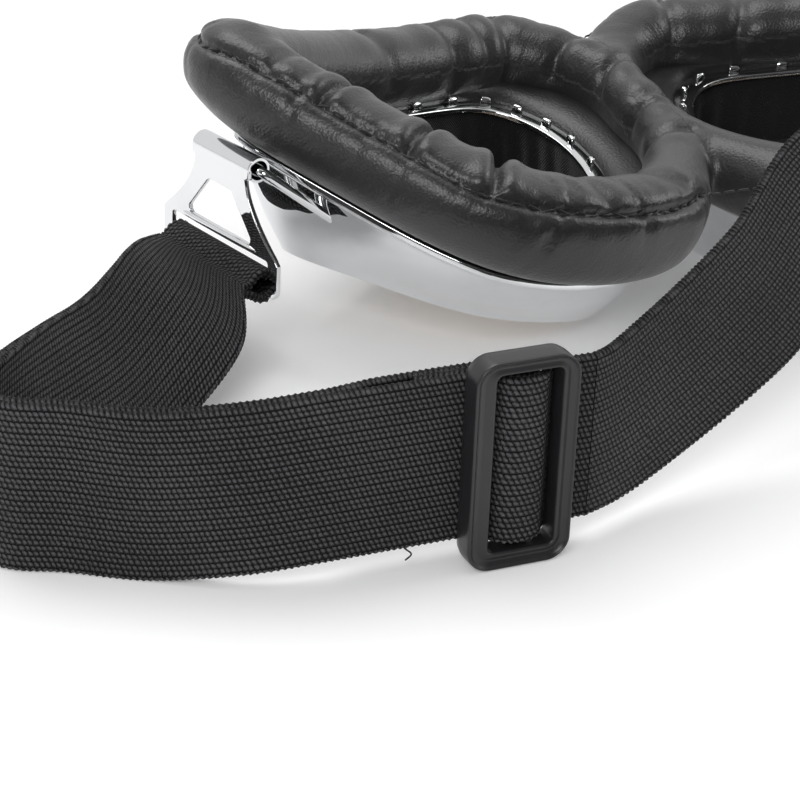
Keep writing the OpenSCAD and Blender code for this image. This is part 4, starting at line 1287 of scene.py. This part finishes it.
# Routes of the strap's two edges: upper edge then lower edge, with a row more at each end for direction
LEFT_ROUTE = np.array([
    bail_row(LEAD[0] - 4, -1), bail_row(LEAD[0], -1),
    [-102, -9, 21, -90, -27.5, 8.5], [-114, -26, 22, -104, -36, 0.5],
    [-124, -37, 23.5, -115, -47, 0.3], [-133, -48.5, 25.5, -128, -54, 0.3],
    [-138.5, -56, 26, -137.5, -58.5, 0], upright(-140, -62, 0), upright(-137.5, -65.8, 0),
    upright(-131, -68.8, 0), upright(-121, -75, 0), upright(-109.5, -81.4, 2),
    upright(STRAIGHT_FROM, -84), upright(STRAIGHT_FROM + 12, -84)])
RIGHT_ROUTE = np.array([
    upright(RIGHT_FROM - 8, OUTER_Y), upright(RIGHT_FROM, OUTER_Y),
    [-49, -80.5, 31, -44.5, -79.5, 4.5], [-27, -68, 37.5, -18, -71, 14], [-5, -53, 47, 4, -62, 25],
    [29, -49, 52.5, 30, -55, 27.5], [61, -48, 48.5, 57, -49.5, 23], [86, -37, 42, 77.5, -39, 17.8],
    [95, -16, 33, 88, -27, 10], bail_row(LEAD[0], 1), bail_row(LEAD[0] - 4, 1)])
LEAD_ROWS = 4
STRAP_STEP, QUICK_STEP = 0.32, 1.0


def even(rows, step):
    """Rows spaced evenly along the path of their middles."""
    middle = (rows[:, :3] + rows[:, 3:]) / 2
    along = np.concatenate([[0], np.cumsum(np.linalg.norm(np.diff(middle, axis=0), axis=1))])
    at = np.linspace(0, along[-1], max(3, int(along[-1] / step) + 1))
    return np.stack([np.interp(at, along, rows[:, i]) for i in range(6)], -1)


def route_part(route, start, end):
    """Rows of a strap route between two row numbers, first and last rows giving only direction."""
    return spline(route, np.linspace(start, end, int((end - start) * 60) + 2))


def upright_part(points):
    """Rows of the strap standing on edge along a path in plan, its corners rounded."""
    path = bent(points, 0.5)
    return np.array([upright(x, y) for x, y in path])


def shifted(rows, offset):
    """Rows moved square to the strap's face."""
    d = np.gradient(rows[:, :3] + rows[:, 3:], axis=0)
    n = unit(np.cross(d, rows[:, :3] - rows[:, 3:])) * offset
    return rows + np.concatenate([n, n], 1)


def eased(rows, rounds):
    """Rows relaxed along the path, ends held, so that joined parts meet without a kink."""
    for _ in range(rounds):
        inner = (rows[:-2] + rows[2:]) / 2
        rows = np.concatenate([rows[:1], 0.5 * rows[1:-1] + 0.5 * inner, rows[-1:]])
    return rows


# Places of the mesh's columns across the strap, pitch of the cords' beads, and where the cords start
STRAP_ACROSS = np.array([0, 0.12, 0.4, 0.9, 1.6, 4, 7, 10, 13, 16, 19, 22, 24.4, 25.1, 25.6, 25.88, 26])
BEAD, CORD_FROM = 0.95, 11.6


def strap_grid(rows):
    """The strap's skin: a slab with half-round edges and a bell-shaped cord along each, carried along
    rows of edge points. The cords' beads push the edges out and in along a sine of the distance."""
    upper, lower = rows[:, :3], rows[:, 3:]
    d = np.gradient(upper + lower, axis=0)
    n = unit(np.cross(d, upper - lower))
    middle = (upper + lower) / 2
    along = np.concatenate([[0], np.cumsum(np.linalg.norm(np.diff(middle, axis=0), axis=1))])
    v = STRAP_ACROSS
    edge = np.maximum(0, np.abs(v - STRAP_W / 2) - (STRAP_W / 2 - STRAP_T / 2)) / (STRAP_T / 2)
    cord = np.exp(-(((np.abs(v - STRAP_W / 2) - STRAP_W / 2 + 0.5) / 0.45) ** 2))
    thick = STRAP_T / 2 * np.sqrt(np.maximum(0, 1 - edge**2)) + 0.07 * cord * (edge < 1)
    across = np.concatenate([v, v[-2:0:-1]])
    lift = np.concatenate([thick, -thick[-2:0:-1]])
    out = np.sign(across - STRAP_W / 2) * np.clip(np.abs(across - STRAP_W / 2) - CORD_FROM, 0, 1)
    wave = np.sin(TURN * along / BEAD)[:, None]
    share = (across + 0.09 * wave * out) / STRAP_W
    ripple = 1 + 0.25 * wave * np.abs(out)
    grid = (lower[:, None] + (upper - lower)[:, None] * share[..., None]
            + n[:, None] * (lift * ripple)[..., None])
    return grid, along, np.concatenate([across, [0]])


# A stitch of the sewn ends: pitch, radius, and at its five points the run and how proud it stands
TRIM_PITCH, TRIM_RADIUS = 2.2, 0.17
TRIM_RUN = np.array([-1.0, -0.6, 0, 0.6, 1.0])
TAIL_PROUD = np.array([-0.1, 0.15, 0.2, 0.15, -0.1])
LOOP_PROUD = np.array([-0.15, 0.12, 0.16, 0.12, -0.15])


class GOGGLES_OT_strap(bpy.types.Operator):
    """Weave the elastic strap from bail to bail through its slider"""

    bl_idname = "goggles.strap"
    bl_label = "Strap"

    def execute(self, context):
        s = context.scene.goggles_strap
        self.cloth = elastic("Ribbed elastic", tuple(s.colour), s.pick, s.course)
        half = LAYER / 2
        step = STRAP_STEP
        last = len(LEFT_ROUTE) - 3
        bend = route_part(LEFT_ROUTE, LEAD_ROWS, last)
        lead = route_part(LEFT_ROUTE, 0, LEAD_ROWS)
        for name, offset in (("front", half), ("rear", -half)):
            rows = shifted(eased(even(lead, step), 6), offset)
            piece = self.piece(f"strap_left_lead_{name}", rows)
            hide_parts("strap_left_lead")
            self.middle(lead, 0.12)
            self.middle(lead, 0.95)
            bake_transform(piece)
        weave = upright_part([
            [WEAVE_LEFT, OUTER_Y], [GAP_LEFT - 0.15, OUTER_Y], [GAP_LEFT + 0.55, OUTER_Y - 0.4],
            [BAR_MID - HALF_BAR - 1.85, OVER_Y + 0.45], [BAR_MID - HALF_BAR - 0.9, OVER_Y],
            [BAR_MID + HALF_BAR + 0.5, OVER_Y], [BAR_MID + HALF_BAR + 1.5, OVER_Y + 0.3],
            [GAP_RIGHT - 0.6, OUTER_Y - 0.45], [GAP_RIGHT + 0.1, OUTER_Y], [RIGHT_FROM, OUTER_Y]])
        run = upright_part([[STRAIGHT_FROM, OUTER_Y], [WEAVE_LEFT, OUTER_Y]])
        outer = np.concatenate([shifted(bend, half)[:-1], run[1:-1], weave])
        piece = self.piece("strap_outer_layer", eased(even(outer, step), int(8 / step)))
        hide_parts("strap_weave", "strap_bend", "strap_run_left")
        self.slide_blend(piece)
        rear = SLIDER_BACK + STRAP_T / 2 + 0.15
        turn, middle, inset = (rear - TAIL_FRONT) / 2, (rear + TAIL_FRONT) / 2, HALF_BAR - 0.25
        arc_up = np.radians(np.linspace(90, -90, 7))
        arc_down = np.radians(np.linspace(270, 215, 4))
        nose, heel = (np.stack([BAR_MID + shift + turn * np.cos(a), middle + turn * np.sin(a)], -1)
                      for shift, a in ((inset, arc_up), (-inset, arc_down)))
        tail = upright_part(np.concatenate([
            [[STRAIGHT_FROM, INNER_Y], [STRAIGHT_FROM + 7, UNDER_Y - 0.15], [WEAVE_LEFT, UNDER_Y],
             [GAP_LEFT + 2, UNDER_Y], [BAR_MID - 2.1, UNDER_Y - 0.8], [BAR_MID - 1.1, rear + 0.35]],
            nose, heel, [[GAP_LEFT + 1.1, SEWN_Y], [TAIL_LEFT, SEWN_Y]]]))
        inner = np.concatenate([shifted(bend, -half)[:-1], tail[1:]])
        piece = self.piece("strap_inner_layer", eased(even(inner, step), int(1.2 / step)))
        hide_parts("strap_tail")
        self.slide_blend(piece)
        run_right = route_part(RIGHT_ROUTE, 0, 1)
        piece = self.piece("strap_right_run", even(run_right, step))
        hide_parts("strap_run_right")
        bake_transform(piece)
        piece = self.piece("strap_back_rise", even(route_part(RIGHT_ROUTE, 1, 5), step))
        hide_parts("strap_rise")
        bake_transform(piece)
        lead = route_part(RIGHT_ROUTE, 5, len(RIGHT_ROUTE) - 3)
        piece = self.piece("strap_right_lead", even(lead, step))
        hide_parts("strap_right_lead")
        self.middle(lead, 0.05)
        self.middle(lead, 0.95)
        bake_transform(piece)
        for side, flip in (("left", -1), ("right", 1)):
            piece = self.piece(f"{side}_bar_loop", self.bar_turn(flip, step))
            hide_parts(f"{side}_strap_loop")
            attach(piece, f"{side}_bail")
        self.trim()
        return {"FINISHED"}

    def piece(self, name, rows):
        """A length of strap along rows of its edges."""
        grid, along, around = strap_grid(rows)
        return lofted_piece(name, [loft(grid, False, along, around)], self.cloth, "elastic", True)

    def middle(self, rows, share):
        """A point of the strap's middle line, in metres."""
        row = rows[int(share * (len(rows) - 1))]
        return tuple((row[:3] + row[3:]) / 2 * MM)

    def slide_blend(self, piece):
        """Bakes the piece's transform into its mesh."""
        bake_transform(piece)

    def bar_turn(self, flip, step):
        """Rows of the strap's turn round a bail's foot bar."""
        half, wrap = LAYER / 2, (PLATE + STRAP_T) / 2 + 0.3
        over = (FOOT_BAR + STRAP_T) / 2 + 0.25
        x, z = BAR
        path = bent([
            [LEAD[0], LEAD[1] + half], [x + 3, LEAD[1] + half], [x + 1.6, z + over - 0.4],
            [x + 0.4, z + over], [x - 0.5, z + over - 0.1], [x - wrap, z + over - 0.8],
            [x - wrap, z - over + 0.8], [x - 0.5, z - over + 0.1], [x + 0.4, z - over],
            [x + 1.6, z - over + 0.5], [x + 3, LEAD[1] - half], [LEAD[0], LEAD[1] - half]], 0.6)
        across = STRAP_W / 2
        edges = [turned([[p, HINGE[1] + k * across, q] for p, q in path]) * [flip, 1, 1] for k in (1, -1)]
        return even(np.concatenate(edges, 1), step)

    def trim(self):
        """Stitches over the sewn ends, and the loose thread at the tail."""
        yarn = thread("Strap thread", STRAP_THREAD_BLACK)
        ranks = np.arange(-5, 6) * TRIM_PITCH
        x, y, z = WEAVE_LEFT + 0.25, UNDER_Y + STRAP_T / 2, STRAP_LIFT + STRAP_W / 2
        rods = [rod_grid(np.stack([np.full(5, x + row), y + TAIL_PROUD, z + rank + TRIM_RUN], -1),
                         TRIM_RADIUS, 6) for row in (0.8, 1.8) for rank in ranks]
        piece = lofted_piece("tail_thread", [loft(rod, False) for rod in rods], yarn, "thread")
        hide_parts("tail_stitches")
        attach(piece, "slider")
        x, z = LEAD[0] - 0.65, LEAD[1] + (LAYER + STRAP_T) / 2
        rods = [rod_grid(turned(np.stack([np.full(5, x), HINGE[1] + rank + TRIM_RUN, z + LOOP_PROUD], -1)),
                         TRIM_RADIUS, 6) for rank in ranks]
        piece = lofted_piece("right_loop_thread", [loft(rod, False) for rod in rods], yarn, "thread")
        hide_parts("right_loop_stitches")
        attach(piece, "right_bail")
        strand = through([[TAIL_LEFT + 0.3, SEWN_Y - 0.2, 4.2], [TAIL_LEFT - 0.6, SEWN_Y - 0.6, 3.0],
                          [TAIL_LEFT + 0.2, SEWN_Y - 1.6, 2.2], [TAIL_LEFT - 0.9, SEWN_Y - 2.0, 1.6]], 16)
        piece = lofted_piece("loose_thread", [loft(rod_grid(strand, 0.13, 6), False)], yarn, "thread")
        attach(piece, "slider")


# The slider's section from its window, 0, to its rim, 1: share of the way across and of the depth
SLIDER_SECTION = np.array([
    [0, 0.12], [0, 0.78], [0.1, 0.87], [0.22, 0.86], [0.5, 0.8], [0.78, 0.9], [0.9, 1.0],
    [0.97, 0.985], [1, 0.9], [1, 0.3], [0.93, 0.04], [0.8, 0], [0.15, 0], [0.04, 0.03]])


class GOGGLES_OT_slider(bpy.types.Operator):
    """Mould the strap's slider"""

    bl_idname = "goggles.slider"
    bl_label = "Slider"

    def execute(self, context):
        s = context.scene.goggles_strap
        plastic = slider_plastic("Slider plastic", tuple(s.slider_colour))
        outer = rounded_box(SLIDER_LEFT, SLIDER_RIGHT, SLIDER_LOW, SLIDER_HIGH, 3.5, 10)
        inner = rounded_box(GAP_LEFT, GAP_RIGHT, SLIDER_LOW + RIM_BAR, SLIDER_HIGH - RIM_BAR, 1.0, 10)
        depth = SLIDER_BACK - SLIDER_FRONT
        share, height = SLIDER_SECTION.T
        plan = inner[:, None] + (outer - inner)[:, None] * share[:, None]
        grid = np.stack([plan[..., 0], np.broadcast_to(SLIDER_BACK - depth * height, plan.shape[:2]),
                         plan[..., 1]], -1)
        bar_a = TURN * np.arange(16) / 16
        z = np.linspace(SLIDER_LOW + RIM_BAR - 0.6, SLIDER_HIGH - RIM_BAR + 0.6, 12)
        bar = np.stack(np.broadcast_arrays(
            BAR_MID + HALF_BAR * self.boxed(np.cos(bar_a)),
            SLIDER_BACK - BAR_T / 2 + BAR_T / 2 * self.boxed(np.sin(bar_a)), z[:, None]), -1)
        lofts = [loft(softened(grid, 0.18, 2), True), loft(bar, False)]
        piece = lofted_piece("strap_slider", lofts, plastic, "slider_plastic", True)
        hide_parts("slider")
        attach(piece, "slider")
        return {"FINISHED"}

    def boxed(self, v):
        """A sine's value raised to a power under one, so that a circle becomes a rounded box."""
        return np.sign(v) * np.abs(v) ** 0.6


# The stage: the camera's place, angles, and focal length as a share of the picture's width
CAMERA_AT = (-223.2, -375.9, 181.9)
CAMERA_YAW, CAMERA_DOWN, CAMERA_ROLL = math.radians(24.9), math.radians(25.8), math.radians(2.4)
FOCAL_SHARE = 2600 / 800
SENSOR = 36.0
# The table's half width, height and points a side
TABLE_REACH, TABLE_Z, TABLE_POINTS = 1600, -0.05, 9
# Lamps: name, place, target, size and share of the lamp power
LAMPS = (("Overhead", (-120, 160, 560), (-40, -30, 10), 420, 1.0),
         ("Front fill", (-380, -420, 330), (-40, -50, 15), 260, 0.9),
         ("Side strip", (420, -60, 260), (40, -20, 25), 200, 0.25))
# Level of the room's light, and how dark the mirrored room gets on its dark side
ROOM_LIGHT, DARKEST = 0.62, 0.12
# Direction in which the room is dark, as the chrome mirrors it
DARK_SIDE = (-0.42, -0.78, 0.46)


def standing(right, up, ahead, place):
    """The matrix of a lamp or camera at a place in millimetres, from its three directions."""
    matrix = np.eye(4)
    matrix[:3, 0], matrix[:3, 1], matrix[:3, 2] = right, up, -ahead
    matrix[:3, 3] = np.array(place) * MM
    return Matrix(matrix.tolist())


def camera_matrix():
    """The camera's place and turn: yaw from the forehead direction, then down, then roll."""
    ahead = np.array([math.sin(CAMERA_YAW) * math.cos(CAMERA_DOWN),
                      math.cos(CAMERA_YAW) * math.cos(CAMERA_DOWN), -math.sin(CAMERA_DOWN)])
    right = np.array([math.cos(CAMERA_YAW), -math.sin(CAMERA_YAW), 0])
    up = np.cross(right, ahead)
    c, s = math.cos(CAMERA_ROLL), math.sin(CAMERA_ROLL)
    return standing(right * c + up * s, up * c - right * s, ahead, CAMERA_AT)


def lamp(name, place, target, size, power):
    """A square soft lamp at a place, turned to a target, both in millimetres."""
    light = bpy.data.lights.new(name, "AREA")
    light.shape, light.size, light.energy = "SQUARE", size * MM, power
    stand = bpy.data.objects.new(name, light)
    bpy.context.scene.collection.objects.link(stand)
    ahead = unit(np.array(target, float) - np.array(place, float))
    right = unit(np.cross(ahead, [0, 0, 1.0]) + np.array([1e-6, 0, 0]))
    stand.matrix_world = standing(right, np.cross(right, ahead), ahead, place)


class GOGGLES_OT_stage(bpy.types.Operator):
    """Lay the table and set the camera and the lamps"""

    bl_idname = "goggles.stage"
    bl_label = "Stage"

    def execute(self, context):
        s = context.scene.goggles_stage
        span = np.linspace(-TABLE_REACH, TABLE_REACH, TABLE_POINTS)
        x, y = np.meshgrid(span, span, indexing="ij")
        points = np.stack([x, y, np.full_like(x, TABLE_Z)], -1).reshape(-1, 3)
        corners = grid_faces(TABLE_POINTS, TABLE_POINTS, False, False)
        faces = (corners[..., 0] * TABLE_POINTS + corners[..., 1])[:, ::-1].tolist()
        floor = new_piece("table_top", points, faces, table("Table", tuple(s.floor)), "chrome")
        del floor["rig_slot"]
        view = bpy.data.cameras.new("Photograph view")
        view.sensor_width, view.lens = SENSOR, SENSOR * FOCAL_SHARE
        view.clip_start, view.clip_end = 0.01, 20
        camera = bpy.data.objects.new("Photograph view", view)
        context.scene.collection.objects.link(camera)
        camera.matrix_world = camera_matrix()
        context.scene.camera = camera
        for name, place, target, size, share in LAMPS:
            lamp(name, place, target, size, s.lamp * share)
        context.scene.view_settings.view_transform = "Standard"
        self.world(context)
        return {"FINISHED"}

    def world(self, context):
        """White to the camera, in chrome and through glass; a soft level for everything else."""
        world = bpy.data.worlds.new("Studio")
        context.scene.world = world
        world.use_nodes = True
        tree = world.node_tree
        tree.nodes.clear()
        new, link = tree.nodes.new, tree.links.new
        path = new("ShaderNodeLightPath")
        place = new("ShaderNodeTexCoord")
        aim = new("ShaderNodeVectorMath")
        aim.operation = "DOT_PRODUCT"
        aim.inputs[1].default_value = DARK_SIDE
        link(place.outputs["Generated"], aim.inputs[0])
        fall = new("ShaderNodeMapRange")
        fall.interpolation_type = "SMOOTHSTEP"
        for key, value in (("From Min", 0.1), ("From Max", 0.75), ("To Min", 1.0), ("To Max", DARKEST)):
            fall.inputs[key].default_value = value
        link(aim.outputs["Value"], fall.inputs["Value"])
        lights = {"dim": ROOM_LIGHT, "mirrored": fall.outputs[0], "white": 1.0}
        shader = {}
        for key, strength in lights.items():
            shader[key] = new("ShaderNodeBackground")
            if isinstance(strength, float):
                shader[key].inputs["Strength"].default_value = strength
            else:
                link(strength, shader[key].inputs["Strength"])
        glossy, seen = new("ShaderNodeMixShader"), new("ShaderNodeMixShader")
        link(path.outputs["Is Glossy Ray"], glossy.inputs[0])
        link(shader["dim"].outputs[0], glossy.inputs[1])
        link(shader["mirrored"].outputs[0], glossy.inputs[2])
        either = new("ShaderNodeMath")
        either.operation = "MAXIMUM"
        link(path.outputs["Is Camera Ray"], either.inputs[0])
        link(path.outputs["Is Transmission Ray"], either.inputs[1])
        link(either.outputs[0], seen.inputs[0])
        link(glossy.outputs[0], seen.inputs[1])
        link(shader["white"].outputs[0], seen.inputs[2])
        end = new("ShaderNodeOutputWorld")
        link(seen.outputs[0], end.inputs["Surface"])


class GOGGLES_PT_builder(bpy.types.Panel):
    """Lists the goggles' pieces and their settings"""

    bl_idname = "GOGGLES_PT_builder"
    bl_label = "Goggles"
    bl_space_type = "VIEW_3D"
    bl_region_type = "UI"
    bl_category = "Goggles"

    def draw(self, context):
        for name, operators in PANEL_ROWS:
            box = self.layout.box()
            settings = getattr(context.scene, name)
            for key in settings.bl_rna.properties.keys():
                if key not in ("rna_type", "name"):
                    box.prop(settings, key)
            for operator in operators:
                box.operator(operator)


PANEL_ROWS = (
    ("goggles_pad", ("goggles.pad",)),
    ("goggles_metal", ("goggles.cups", "goggles.lenses", "goggles.hinges")),
    ("goggles_strap", ("goggles.strap", "goggles.slider")),
    ("goggles_stage", ("goggles.stage",)),
)
SETTINGS = {"goggles_pad": PadSettings, "goggles_metal": MetalSettings,
            "goggles_strap": StrapSettings, "goggles_stage": StageSettings}
CLASSES = (PadSettings, MetalSettings, StrapSettings, StageSettings, GOGGLES_OT_pad, GOGGLES_OT_cups,
           GOGGLES_OT_lenses, GOGGLES_OT_hinges, GOGGLES_OT_strap, GOGGLES_OT_slider,
           GOGGLES_OT_stage, GOGGLES_PT_builder)


def register():
    """Registers the classes and hangs their settings on the scene."""
    for cls in CLASSES:
        bpy.utils.register_class(cls)
    for name, settings in SETTINGS.items():
        setattr(bpy.types.Scene, name, PointerProperty(type=settings))


def unregister():
    """Takes both away again."""
    for name in SETTINGS:
        delattr(bpy.types.Scene, name)
    for cls in reversed(CLASSES):
        bpy.utils.unregister_class(cls)


def main():
    """Registers the add-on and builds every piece."""
    register()
    for _, operators in PANEL_ROWS:
        for operator in operators:
            group, name = operator.split(".")
            getattr(getattr(bpy.ops, group), name)()


if __name__ == "__main__":
    main()
